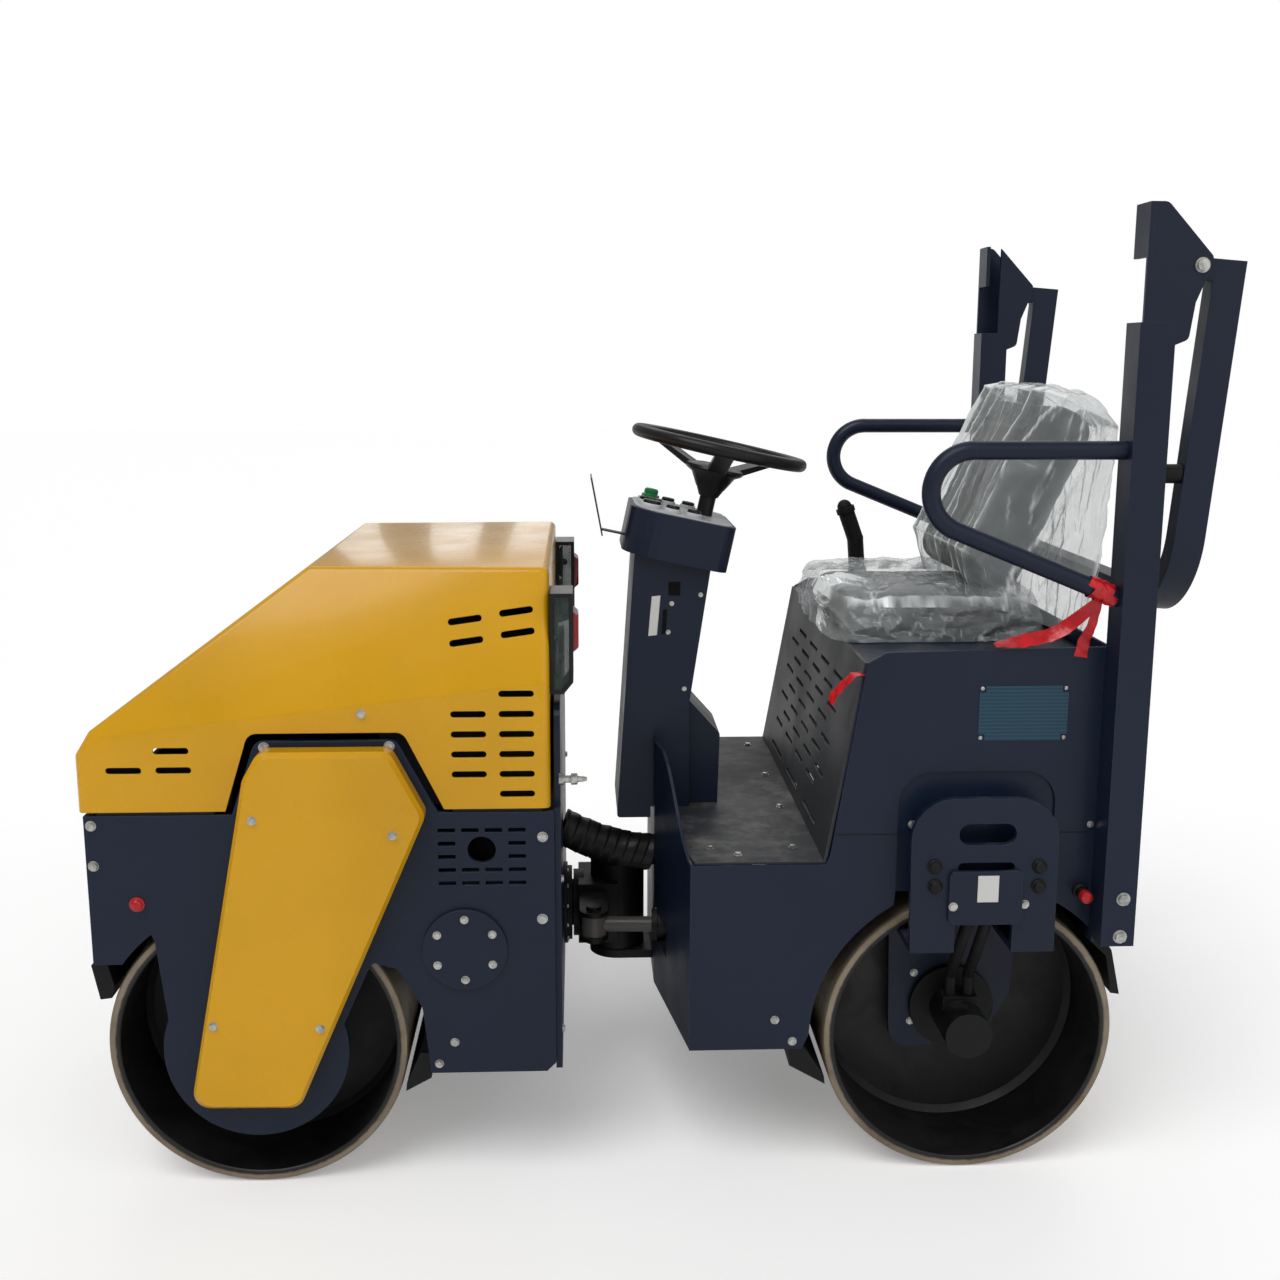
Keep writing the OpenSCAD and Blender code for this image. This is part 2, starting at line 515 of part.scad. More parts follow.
module hoop_frame() translate([-hinge_x, 0, hinge_z]) rotate([0, -fold_deg, 0]) children();
module rops_bumpers() color([0.03, 0.03, 0.03]) both() difference() {
    cyl_x(-hinge_x - 17, -post_rear - seat_gap, leg_y, hinge_z - 355, 17);
    hoop_frame() box(-leg_off - leg_d / 2, -leg_off + leg_d / 2 + 1, 0, 600, -700, 0);
}
module rops_hoop() color([0.14, 0.16, 0.21]) hoop_frame() {
    bend = 150;
    low = -612;
    x0 = -leg_off - leg_d / 2;
    x1 = -leg_off + leg_d / 2;
    both() {
        box(x0, x1, leg_y - leg_w / 2, leg_y + leg_w / 2, low + bend, 14);
        translate([x0, leg_y + leg_w / 2 - bend, low + bend]) rotate([0, 90, 0]) rotate([0, 0, 0])
            rotate_extrude(angle = 90) translate([bend - leg_w, 0]) square([leg_w, leg_d]);
        difference() {
            union() {
                box(x1 - 10, 0, leg_y - leg_w / 2, leg_y + leg_w / 2, -22, 14);
                cyl_y(0, leg_y - leg_w / 2, leg_y + leg_w / 2, 0, 18);
            }
            cyl_y(0, leg_y - leg_w, leg_y + leg_w, 0, hinge_pin_d / 2 + pin_gap);
        }
    }
    w = leg_y + leg_w / 2 - bend;
    box(x0, x1, -w, w, low, low + leg_w);
}

// Drum hangers: back plate, buffers' blocks, outer plate, arms and motor plate
function hanger_outline() = rounded([[xr + 135, hang_low, 0], [xr + 141, hang_in + 342, 78],
    [xr - 133, hang_in + 342, 78], [xr - 134, hang_low, 0], [xr - 54, hang_low, 0], [xr - 54, hang_in + 103, 0],
    [xr + 53, hang_in + 103, 0], [xr + 53, hang_low, 0]]);
module drum_hangers() color([0.14, 0.16, 0.21]) both() {
    yo = hang_y;
    difference() {
        xz(yo - 14, yo) polygon(hanger_outline());
        xz(yo - 20, yo + 1) {
            slot(xr - 1, hang_in + 274, 106, 40, 0);
            slot(xr - 1, hang_in + 210, 106, 20, 0);
        }
    }
    for (x = [xr + 95, xr - 97])
        box(x - 20, x + 20, panel_in - seat_gap - 5, yo - 10, drum_d + 30, drum_d + 105);
    box(xr - 175, xr + 185, panel_in - seat_gap - 12, panel_in - seat_gap, drum_d + 14, drum_d + 270);
    for (x = [[xr + 53, xr + 135], [xr - 134, xr - 54]])
        box(x[0], x[1], motor_y, yo - 2, hang_low, hang_low + 14);
    difference() {
        xz(motor_y, motor_y + 14) polygon(rounded([[xr + 130, hang_low + 14, 0], [xr - 130, hang_low + 14, 0],
            [xr - 122, axle_z + 20, 60], [xr - 66, axle_z - 76, 50], [xr + 122, axle_z - 100, 45]]));
        cyl_y(xr, motor_y - 5, motor_y + 20, axle_z, 60);
    }
}
module hanger_covers() color([0.14, 0.16, 0.21]) both() {
    y = hang_y + seat_gap;
    z = hang_in + 103;
    xz(y, y + 8)
        polygon(rounded([[xr + 68, z + 103, 12], [xr - 68, z + 103, 12], [xr - 68, z, 12], [xr + 68, z, 12]]));
}
// Travel motor in the plate, with its flange and stub axle
module rear_drum_motor() color([0.06, 0.07, 0.08]) both() {
    y1 = motor_y + 14 + seat_gap;
    y0 = hw - disc_recess;
    cyl_y(xr, y1, y1 + 14, axle_z, 84);
    cyl_y(xr, y1 + 14, y1 + 150, axle_z, 45);
    box(xr - 32, xr + 37, y1 + 52, y1 + 88, axle_z + 10, axle_z + 52);
    cyl_y(xr, y0 + 6, y1, axle_z, 58);
    cyl_y(xr, y0 - disc_t + 2, y0 + 6, axle_z, axle_d / 2);
}
module motor_hoses() color([0.03, 0.03, 0.03]) both() {
    y1 = motor_y + 14 + seat_gap;
    y2 = hang_y - 14 - 2 * seat_gap - 11.5;
    z1 = axle_z + 52 + seat_gap;
    a = atan2(y2 - y1 - 70, 160);
    for (x = [xr - 15, xr + 20]) translate([x, 0, 0]) {
        translate([0, y1 + 70, z1]) cylinder(r = 11, h = 40);
        translate([0, y1 + 70, z1 + 40]) sphere(r = 11.5);
        translate([0, y1 + 70, z1 + 40]) rotate([-a, 0, 0]) cylinder(r = 11, h = 160 / cos(a));
        translate([0, y2, z1 + 200]) sphere(r = 11.5);
        translate([0, y2, z1 + 200]) cylinder(r = 11, h = 90);
    }
}
// Travel lever in a thick sleeve, clamped by a collar at each end
module drive_lever() color([0.04, 0.04, 0.04]) translate([xr + 75, 75 - panel_in, seat_deck_z + seat_gap]) {
    cylinder(r = 34, h = 8);
    rotate([0, 5, 0]) {
        translate([0, 0, 5]) cylinder(r = 12, h = 45);
        translate([0, 0, 44]) cylinder(r = 22, h = 12);
        translate([0, 0, 50]) cylinder(r = 19, h = 76);
        translate([0, 0, 126]) sphere(r = 19.4);
        translate([0, 0, 126]) rotate([0, 15, 0]) {
            cylinder(r = 19, h = 74);
            translate([0, 0, 66]) cylinder(r = 22, h = 12);
            translate([0, 0, 80]) sphere(r = 17);
        }
    }
}

// Rear clevis with the steering pin, and the cylinder's anchor
module joint_bracket() color([0.1, 0.1, 0.11]) {
    pz = [swing_z - 107, swing_z + 105];
    for (z = pz) xy(z, z + 18) {
        translate([-pivot_x, 0]) circle(r = 60);
        translate([-bulk_x + seat_gap, -60]) square([bulk_x - seat_gap - pivot_x, 120]);
    }
    cyl_z(-pivot_x, 0, pz[0], pz[1] + 34, steer_pin_d / 2);
    cyl_z(-pivot_x, 0, pz[1] + 18, pz[1] + 34, 42);
    for (z = [ram_z - 46, ram_z + 34]) xy(z, z + 12) {
        translate([barrel_x, barrel_y]) circle(r = 30);
        polygon([[barrel_x, barrel_y - 30], [bow_x(barrel_y - 30) - bulk_t - seat_gap, barrel_y - 30],
            [bow_x(barrel_y + 30) - bulk_t - seat_gap, barrel_y + 30], [barrel_x, barrel_y + 30]]);
    }
    cyl_z(barrel_x, barrel_y, ram_z - 46, ram_z + 46, 12);
}
// Cast yoke: pin boss, swing journal and steering arm
module yoke() color([0.08, 0.08, 0.085]) difference() {
    union() {
        cyl_z(-pivot_x, 0, swing_z - 89 + ear_gap, swing_z + 105 - ear_gap, 58);
        box(-pivot_x, 72, -72, 72, swing_z - 66, swing_z + 66);
        cyl_x(60, frame_rear - 17 - seat_gap - 3, 0, swing_z, 72);
        cyl_x(60, frame_rear + plate_t, 0, swing_z, steer_pin_d);
        for (z = [ram_z - 32, ram_z + 22]) xy(z, z + 10) {
            translate([eye_x, eye_y]) circle(r = 30);
            translate([eye_x - 30, 0]) square([60, eye_y]);
        }
        cyl_z(eye_x, eye_y, ram_z + 32, ram_z + 40, 16);
        cyl_z(eye_x, eye_y, ram_z - 40, ram_z - 32, 16);
    }
    cyl_z(-pivot_x, 0, swing_z - 185, swing_z + 215, steer_pin_d / 2 + pin_gap);
}
module hose_bundle() color([0.03, 0.03, 0.03]) intersection() {
    translate([frame_rear + 7, 100, deck_z - 20]) rotate([0, -107, 0]) cylinder(r = 40, h = 240);
    box(-bulk_x + seat_gap, frame_rear - seat_gap, 0, 200, deck_z - 212, deck_z + 88);
}
// Steering cylinder: barrel on its anchor pin, rod with its eye at the yoke
function ram_deg() = atan2(eye_y - barrel_y, eye_x - barrel_x);
function ram_len() = norm([eye_x - barrel_x, eye_y - barrel_y]);
module ram_frame() translate([barrel_x, barrel_y, ram_z]) rotate([0, 0, ram_deg()]) children();
module steer_barrel() color([0.06, 0.06, 0.065]) ram_frame() difference() {
    union() {
        cyl_x(10, ram_len() - 132, 0, 0, barrel_d / 2);
        cyl_x(ram_len() - 132, ram_len() - 120, 0, 0, barrel_d / 2 + 4);
        cyl_z(0, 0, -30, 30, 28);
    }
    cyl_x(40, ram_len(), 0, 0, rod_d / 2 + pin_gap);
    cyl_z(0, 0, -40, 40, 12 + pin_gap);
}
module steer_rod() color([0.7, 0.71, 0.73]) ram_frame() {
    cyl_x(ram_len() * 0.35, ram_len(), 0, 0, rod_d / 2);
    cyl_z(ram_len(), 0, -22 + ear_gap, 22 - ear_gap, 27);
}

module place() translate([x_shift, 0, 0]) children();
place() rear_side_panels();
place() front_bulkhead();
place() floor_plate();
place() seat_box_front();
place() seat_deck();
place() rear_panel();
place() console_column();
place() knee_cover();
place() console_head();
place() console_panel();
place() console_visor();
place() steering_column();
place() seat_base();
place() seat_cushion();
place() seat_back();
place() armrests();
place() rops_posts();
place() rops_bumpers();
place() drum_hangers();
place() hanger_covers();
place() rear_drum_motor();
place() motor_hoses();
place() rear_scrapers();
place() drive_lever();
place() joint_bracket();
place() steering_wheel();
place() rops_hoop();
place() rear_drum();
place() yoke();
place() hose_bundle();
place() steer_barrel();
place() steer_rod();
place() front_side_plates();
place() front_frame();
place() engine_block();
place() osc_bearing();
place() leg_covers();
place() side_covers();
place() front_scrapers();
place() front_hubs();
place() hood_seals();
place() hood();
place() lamp_housings();
place() lamp_lenses();
place() front_drum();
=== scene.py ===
from math import atan2, cos, pi, radians, sin

import bmesh
import bpy
from mathutils import Matrix, Vector, noise
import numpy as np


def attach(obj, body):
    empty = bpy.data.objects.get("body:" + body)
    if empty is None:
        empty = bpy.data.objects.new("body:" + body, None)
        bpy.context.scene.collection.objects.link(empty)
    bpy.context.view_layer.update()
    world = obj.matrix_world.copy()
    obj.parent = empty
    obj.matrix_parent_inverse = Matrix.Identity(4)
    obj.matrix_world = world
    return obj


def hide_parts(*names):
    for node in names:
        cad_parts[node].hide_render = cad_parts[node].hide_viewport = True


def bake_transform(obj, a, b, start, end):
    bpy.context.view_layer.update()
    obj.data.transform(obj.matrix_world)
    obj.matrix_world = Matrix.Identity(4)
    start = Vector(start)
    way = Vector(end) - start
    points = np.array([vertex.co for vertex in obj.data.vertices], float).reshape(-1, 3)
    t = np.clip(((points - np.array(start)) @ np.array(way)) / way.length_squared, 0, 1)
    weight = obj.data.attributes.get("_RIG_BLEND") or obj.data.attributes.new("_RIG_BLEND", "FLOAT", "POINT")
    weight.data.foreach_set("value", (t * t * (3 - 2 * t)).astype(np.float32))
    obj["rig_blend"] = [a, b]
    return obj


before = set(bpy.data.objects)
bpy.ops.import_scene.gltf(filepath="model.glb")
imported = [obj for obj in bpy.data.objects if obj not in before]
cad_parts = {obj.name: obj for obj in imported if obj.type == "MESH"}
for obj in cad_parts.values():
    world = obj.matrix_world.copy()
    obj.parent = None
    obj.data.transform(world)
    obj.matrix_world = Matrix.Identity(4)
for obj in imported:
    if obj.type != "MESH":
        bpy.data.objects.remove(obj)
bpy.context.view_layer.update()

# Studio: a pale floor under soft light, seen from the machine's left side as the photograph is.
# The camera's place comes from a perspective fit to the drums, the floor edge and the hood. Three narrow
# window lights behind the machine, hidden from the camera, give the hood's top its sheen.
scene = bpy.context.scene
scene.view_settings.view_transform = "Standard"


def link(obj):
    scene.collection.objects.link(obj)
    return obj


picture_px, focal_px, sensor_mm = 1280, 1455.34, 36
camera_at = Vector((0.11581, 3.03176, 1.54988))
yaw, pitch, roll = 0.0419, 0.1892, 0.0018
right, up, ahead = Vector((-1, 0, 0)), Vector((0, 0, 1)), Vector((0, -1, 0))
right, ahead = cos(yaw) * right - sin(yaw) * ahead, sin(yaw) * right + cos(yaw) * ahead
up, ahead = cos(pitch) * up + sin(pitch) * ahead, cos(pitch) * ahead - sin(pitch) * up
right, up = cos(roll) * right + sin(roll) * up, cos(roll) * up - sin(roll) * right
camera = link(bpy.data.objects.new("camera", bpy.data.cameras.new("camera")))
camera.data.sensor_width = sensor_mm
camera.data.lens = sensor_mm * focal_px / picture_px
camera.matrix_world = Matrix.Translation(camera_at) @ Matrix((right, up, -ahead)).transposed().to_4x4()
scene.camera = camera


class Value:
    """A shader socket that adds Math nodes when it is used in a sum or a product."""

    def __init__(self, finish, socket):
        self.finish, self.socket = finish, socket

    def math(self, operation, other):
        return self.finish.node("ShaderNodeMath", {"operation": operation}, {0: self, 1: other})

    def __add__(self, other):
        return self.math("ADD", other)

    __radd__ = __add__

    def __mul__(self, other):
        return self.math("MULTIPLY", other)

    __rmul__ = __mul__


class Finish:
    """A material's node tree with a few words for what the finishes of this machine need."""

    def __init__(self, name, tree=None):
        if tree is None:
            self.material = bpy.data.materials.new(name)
            self.material.use_nodes = True
            tree = self.material.node_tree
        self.tree = tree
        self.shader = tree.nodes.get("Principled BSDF")

    def node(self, kind, settings=None, inputs=None, out=0):
        node = self.tree.nodes.new(kind)
        for key, value in (settings or {}).items():
            setattr(node, key, value)
        for key, value in (inputs or {}).items():
            self.join(value, node.inputs[key])
        return Value(self, node.outputs[out])

    def join(self, value, socket):
        if isinstance(value, Value):
            self.tree.links.new(value.socket, socket)
        elif socket.type == "RGBA" and len(value) == 3:
            socket.default_value = (*value, 1)
        else:
            socket.default_value = value

    def place(self, stretch=(1, 1, 1), centre=(0, 0, 0)):
        """Object coordinates about a centre, stretched along each axis."""
        where = self.node("ShaderNodeTexCoord", out="Object")
        shift = tuple(-c * s for c, s in zip(centre, stretch))
        return self.node("ShaderNodeMapping", {}, {"Vector": where, "Scale": stretch, "Location": shift})

    def noise(self, scale, detail=3, rough=0.55, stretch=(1, 1, 1), warp=0.0):
        return self.node("ShaderNodeTexNoise", {}, {"Vector": self.place(stretch), "Scale": scale,
                         "Detail": detail, "Roughness": rough, "Distortion": warp})

    def ramp(self, value, low, high, to_low=0.0, to_high=1.0):
        """A value that runs smoothly from to_low to to_high while another runs from low to high."""
        return self.node("ShaderNodeMapRange", {"interpolation_type": "SMOOTHSTEP"},
                         {"Value": value, 1: low, 2: high, 3: to_low, 4: to_high})

    def mix(self, factor, a, b):
        return self.node("ShaderNodeMix", {"data_type": "RGBA"}, {0: factor, 6: a, 7: b}, out=2)

    def bump(self, height, strength, distance, normal=None):
        inputs = {"Height": height, "Strength": strength, "Distance": distance}
        if normal is not None:
            inputs["Normal"] = normal
        return self.node("ShaderNodeBump", {}, inputs)

    def edges(self, radius):
        """Rounded normal of an edge, and how close a point is to that edge."""
        bent = self.node("ShaderNodeBevel", {"samples": 4}, {"Radius": radius})
        flat = self.node("ShaderNodeNewGeometry", out="Normal")
        same = self.node("ShaderNodeVectorMath", {"operation": "DOT_PRODUCT"}, {0: bent, 1: flat},
                         out="Value")
        return bent, self.ramp(same, 0.995, 0.90)

    def upward(self):
        """How far a face looks up, 1 on a level top."""
        normal = self.node("ShaderNodeNewGeometry", out="Normal")
        return self.node("ShaderNodeSeparateXYZ", {}, {0: normal}, out="Z")

    def set(self, **sockets):
        for name, value in sockets.items():
            self.join(value, self.shader.inputs[name.replace("_", " ")])
        return self.material


def rgb(red, green, blue):
    """A colour as a paint chart gives it, 0 to 255, in the linear values that shaders take."""
    return tuple(c / 12.92 if c <= 0.04045 else ((c + 0.055) / 1.055) ** 2.4
                 for c in (red / 255, green / 255, blue / 255))


world = bpy.data.worlds.new("studio")
world.use_nodes = True
scene.world = world
sky = Finish("studio", world.node_tree)
path = {ray: sky.node("ShaderNodeLightPath", out=ray)
        for ray in ("Is Camera Ray", "Is Glossy Ray", "Is Transmission Ray")}
shown = path["Is Camera Ray"].math("MAXIMUM", path["Is Transmission Ray"])
sky_light, sky_in_paint = 0.30, 0.32
backdrop = world.node_tree.nodes["Background"]
backdrop.inputs["Color"].default_value = (1, 1, 1, 1)
sky.join(sky.ramp(shown, 0.0, 1.0, sky_light, 1.0).math("MAXIMUM", path["Is Glossy Ray"] * sky_in_paint),
         backdrop.inputs["Strength"])
for name, way, spread, strength in (
    ("key_light", (1.6, 2.6, 4.4), 40, 1.5),
    ("fill_light", (-3.0, 3.4, 2.0), 60, 0.55),
    ("back_light", (-0.8, -3.6, 3.0), 50, 0.45),
):
    lamp = link(bpy.data.objects.new(name, bpy.data.lights.new(name, "SUN")))
    lamp.data.angle, lamp.data.energy = radians(spread), strength
    lamp.location = way
    lamp.rotation_euler = Vector(way).to_track_quat("Z", "Y").to_euler()

window_wide, window_tall, window_watts = 0.30, 1.3, 1.3
window_y, window_z = -4.5, 1.85
for window_x in (0.22, 0.72, 1.30):
    window = link(bpy.data.objects.new("window_light", bpy.data.lights.new("window_light", "AREA")))
    window.data.shape, window.data.size, window.data.size_y = "RECTANGLE", window_wide, window_tall
    window.data.energy = window_watts
    window.location = (window_x, window_y, window_z)
    window.rotation_euler = (radians(90), 0, 0)
    window.visible_camera = False

floor_mesh = bpy.data.meshes.new("studio_floor")
reach, below = 30, 0.0008
floor_mesh.from_pydata([(-reach, -reach, -below), (reach, -reach, -below), (reach, reach, -below),
                        (-reach, reach, -below)], [], [(0, 1, 2, 3)])
studio_floor = link(bpy.data.objects.new("studio_floor", floor_mesh))
floor_finish = Finish("studio_floor")
floor_seen = floor_finish.node("ShaderNodeLightPath", out="Is Camera Ray")
floor_mesh.materials.append(floor_finish.set(Base_Color=floor_finish.mix(
    floor_finish.noise(1.5, 2) * 0.3, (0.90, 0.90, 0.90), (0.88, 0.88, 0.88)), Roughness=0.9,
    Emission_Color=floor_finish.mix(floor_seen, (0, 0, 0), (1, 1, 1)), Emission_Strength=0.24))

# Drums: rolled steel shells with welded end discs, worn bright and brown on the rolling face and rim
# and painted black inside. Each runs on its own axle and rolls freely.
# The middle of the wheelbase lies mid_x ahead of the frame's origin.
mid_x = 50.672
axle_z, drum_r, drum_half, shell_in = 280, 280, 450, 258
rear_axle, front_axle = -675, 675


def at(x, y, z):
    """A place in the source's millimetres, measured from the middle of the wheelbase."""
    return Vector(((x + mid_x) / 1000, y / 1000, z / 1000))


def as_piece(name, mesh, body, slot, *finishes, smooth=35):
    """Puts a mesh (bmesh or mesh data) into the scene as a piece that rides on a body."""
    if isinstance(mesh, bmesh.types.BMesh):
        data = bpy.data.meshes.new(name)
        mesh.to_mesh(data)
        mesh.free()
        mesh = data
    for finish in finishes:
        mesh.materials.append(finish)
    mesh.shade_smooth()
    mesh.set_sharp_from_angle(angle=radians(smooth))
    obj = link(bpy.data.objects.new(name, mesh))
    if body:
        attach(obj, body)
    return obj


def dress(finish, *nodes):
    """Gives carried-over solids their finish."""
    for node in nodes:
        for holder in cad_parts[node].material_slots:
            holder.material = finish


def turned(bm, profile, frame_at, steps=48, closed=True):
    """Adds a turned shape: profile is (radius, height) pairs about the frame's Z axis."""
    rings = []
    turns = [2 * pi * k / steps for k in range(steps)]
    for r, h in profile:
        if r < 1e-9:
            rings.append([bm.verts.new(frame_at @ Vector((0, 0, h)))])
        else:
            rings.append([bm.verts.new(frame_at @ Vector((r * cos(a), r * sin(a), h))) for a in turns])
    pairs = list(zip(rings, rings[1:] + rings[:1])) if closed else list(zip(rings, rings[1:]))
    for a, b in pairs:
        for k in range(steps):
            n = (k + 1) % steps
            if len(a) > 1 and len(b) > 1:
                bm.faces.new((a[k], a[n], b[n], b[k]))
            elif len(b) > 1:
                bm.faces.new((a[0], b[n], b[k]))
            elif len(a) > 1:
                bm.faces.new((a[k], a[n], b[0]))
    bmesh.ops.recalc_face_normals(bm, faces=bm.faces)
    return bm


def facing(place, direction):
    """A frame at a place whose Z looks along a direction."""
    z = Vector(direction).normalized()
    x = Vector((0, 0, 1)) if abs(z.z) < 0.9 else Vector((1, 0, 0))
    y = z.cross(x).normalized()
    return Matrix.Translation(place) @ Matrix((y.cross(z), y, z)).transposed().to_4x4()


def drum_finish(name, axle):
    """Worn steel outside a radius, dusty black paint inside it."""
    f = Finish(name)
    paint_to, steel_from = 0.2665, 0.2715
    where = f.place(centre=at(axle, 0, axle_z))
    flat = f.node("ShaderNodeVectorMath", {"operation": "MULTIPLY"}, {0: where, 1: (1, 0, 1)})
    radius = f.node("ShaderNodeVectorMath", {"operation": "LENGTH"}, {0: flat}, out="Value")
    bare = f.ramp(radius + f.noise(60, 2) * 0.004, paint_to, steel_from)
    streak = f.noise(7, 5, 0.65, (1, 26, 1))
    blotch = f.noise(9, 4, 0.6, warp=0.6)
    grit = f.noise(320, 3, 0.7)
    steel = f.mix(f.ramp(streak, 0.30, 0.75), rgb(124, 113, 98), rgb(152, 139, 118))
    steel = f.mix(f.ramp(blotch, 0.5, 0.75) * 0.7, steel, rgb(112, 86, 60))
    steel = f.mix(f.ramp(grit, 0.55, 0.75) * 0.5, steel, rgb(48, 42, 38))
    dusty = f.ramp(f.noise(14, 5, 0.65), 0.48, 0.75) * 0.5
    paint = f.mix(dusty, rgb(9, 9, 10), rgb(30, 28, 26))
    return f.set(Base_Color=f.mix(bare, paint, steel), Metallic=bare * 0.55,
                 Roughness=f.ramp(blotch, 0.3, 0.7, 0.42, 0.62),
                 Normal=f.bump(grit + blotch * 0.8, 0.25, 0.0012))


def drum_mesh(axle):
    """A drum as one turned shell: two end discs set back from its rims, with a weld round each."""
    face, back = 270, 254
    hole, throat = 35.5, 12
    drum_steps = 160
    half = [(hole, back), (shell_in - throat, back), (shell_in, back - throat)]
    rim = [(shell_in, face + throat), (shell_in, drum_half - 2), (shell_in + 2, drum_half),
           (drum_r - 7, drum_half), (drum_r - 3, drum_half - 1.2), (drum_r - 0.8, drum_half - 4),
           (drum_r, drum_half - 8)]
    side = [(shell_in - throat, face), *rim]
    loop = half[::-1] + [(hole, face)] + side
    loop = loop + [(r, -y) for r, y in reversed(loop)]
    axis = facing(at(axle, 0, axle_z), (0, 1, 0))
    return turned(bmesh.new(), [(r / 1000, y / 1000) for r, y in loop], axis, drum_steps)


for body, axle in (("rear_drum", rear_axle), ("front_drum", front_axle)):
    drum = as_piece(body + "_shell", drum_mesh(axle), body, "drum_steel", drum_finish(body + "_steel", axle))
    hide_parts(body)

# Frame paint: a satin blue-grey stove enamel on plate and tube, with rounded edges that catch the light,
# a lighter colour along them that is a painted highlight, and a thin settling of dust. The whole chassis,
# the posts and the console wear it; the castings, the yoke and the scrapers are painted black.
edge_r = 0.0022


def paint(name, colour, edge, gloss, coat, peel=0.10, dirt=0.25, dust=rgb(120, 118, 112)):
    """A painted or moulded skin: its colour and the lighter colour of its edges, a painted highlight,
    roughness, coat, peel, dirt and dust.
    """
    f = Finish(name)
    bent, rim = f.edges(edge_r)
    cloud = f.noise(2.2, 3)
    base = f.mix(f.ramp(cloud, 0.35, 0.7), colour, tuple(c * 0.86 for c in colour))
    # Near an edge the colour turns to the lighter edge colour: a painted highlight along every edge.
    base = f.mix(rim * f.ramp(f.noise(40, 4), 0.3, 0.7, 0.25, 0.85), base, edge)
    settle = f.ramp(f.upward(), 0.55, 1.0) * f.ramp(f.noise(11, 5, 0.7), 0.4, 0.75) * dirt
    scuff = f.ramp(f.noise(28, 6, 0.75, (1, 1, 5), 0.4), 0.66, 0.80) * (dirt * 0.5)
    base = f.mix(settle.math("MAXIMUM", scuff), base, dust)
    skin = f.noise(420, 2, 0.5)
    return f.set(Base_Color=base, Roughness=f.ramp(f.noise(6, 4), 0.3, 0.7, gloss, gloss + 0.12),
                 Normal=f.bump(skin, peel, 0.0006, bent), Coat_Weight=coat, Coat_Roughness=0.12,
                 Specular_IOR_Level=0.26)


# The second colour of each paint is its edge colour, a painted highlight.
blue_grey = paint("blue_grey_enamel", rgb(19, 30, 50), rgb(48, 62, 86), 0.34, 0.06)
casting = paint("black_casting", rgb(13, 14, 16), rgb(40, 41, 44), 0.46, 0.0, peel=0.35, dirt=0.3)
dress(blue_grey, "front_side_plates", "front_frame", "side_covers", "rear_side_panels", "front_bulkhead",
      "seat_deck", "rear_panel", "console_column", "knee_cover", "console_head", "armrests", "rops_posts",
      "rops_hoop", "drum_hangers", "hanger_covers")
dress(casting, "osc_bearing", "front_hubs", "joint_bracket", "yoke", "steer_barrel", "rear_drum_motor",
      "front_scrapers", "rear_scrapers")

# Yellow sheet: hood and leg covers are pressed steel in a glossy chrome-yellow enamel over the frame.
# The hood hinges at its nose; the leg covers are bolted over the drum's side arms.
yellow = paint("yellow_enamel", rgb(214, 158, 0), rgb(230, 180, 20), 0.22, 0.35, peel=0.05, dirt=0.05,
               dust=rgb(150, 120, 60))
weld, flat_deg = 2e-5, 0.6


def smooth_copy(node, body, slot, finish, angle=32):
    """A merged, smooth-shaded copy of a faceted solid that stands for it."""
    bm = bmesh.new()
    bm.from_mesh(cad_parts[node].data)
    bmesh.ops.remove_doubles(bm, verts=bm.verts, dist=weld)
    bmesh.ops.dissolve_degenerate(bm, edges=bm.edges, dist=weld)
    bmesh.ops.dissolve_limit(bm, angle_limit=radians(flat_deg), verts=bm.verts, edges=bm.edges)
    mesh = bpy.data.meshes.new(node + "_sheet")
    bm.to_mesh(mesh)
    bm.free()
    for a in [a for a in mesh.attributes if a.name == "custom_normal"]:
        mesh.attributes.remove(a)
    obj = as_piece(node + "_sheet", mesh, body, slot, finish, smooth=angle)
    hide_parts(node)
    return obj


smooth_copy("hood", "hood", "yellow_paint", yellow)
smooth_copy("leg_covers", "front_unit", "yellow_paint", yellow)

# Bolts: zinc-plated hex heads on washers, M5 to M14, that hold covers, plates and brackets together.
# One tree sets a head and a washer on every marked place, looking along that place's own direction.
zinc = Finish("zinc_plate")
zinc_skin = zinc.noise(300, 4, 0.7)
zinc.set(Base_Color=zinc.mix(zinc.ramp(zinc.noise(90, 3), 0.35, 0.7), rgb(206, 206, 200), rgb(160, 162, 160)),
         Metallic=zinc.ramp(zinc_skin, 0.2, 0.4, 0.7, 0.95),
         Roughness=zinc.ramp(zinc_skin, 0.3, 0.7, 0.28, 0.48),
         Normal=zinc.bump(zinc_skin, 0.2, 0.0004))


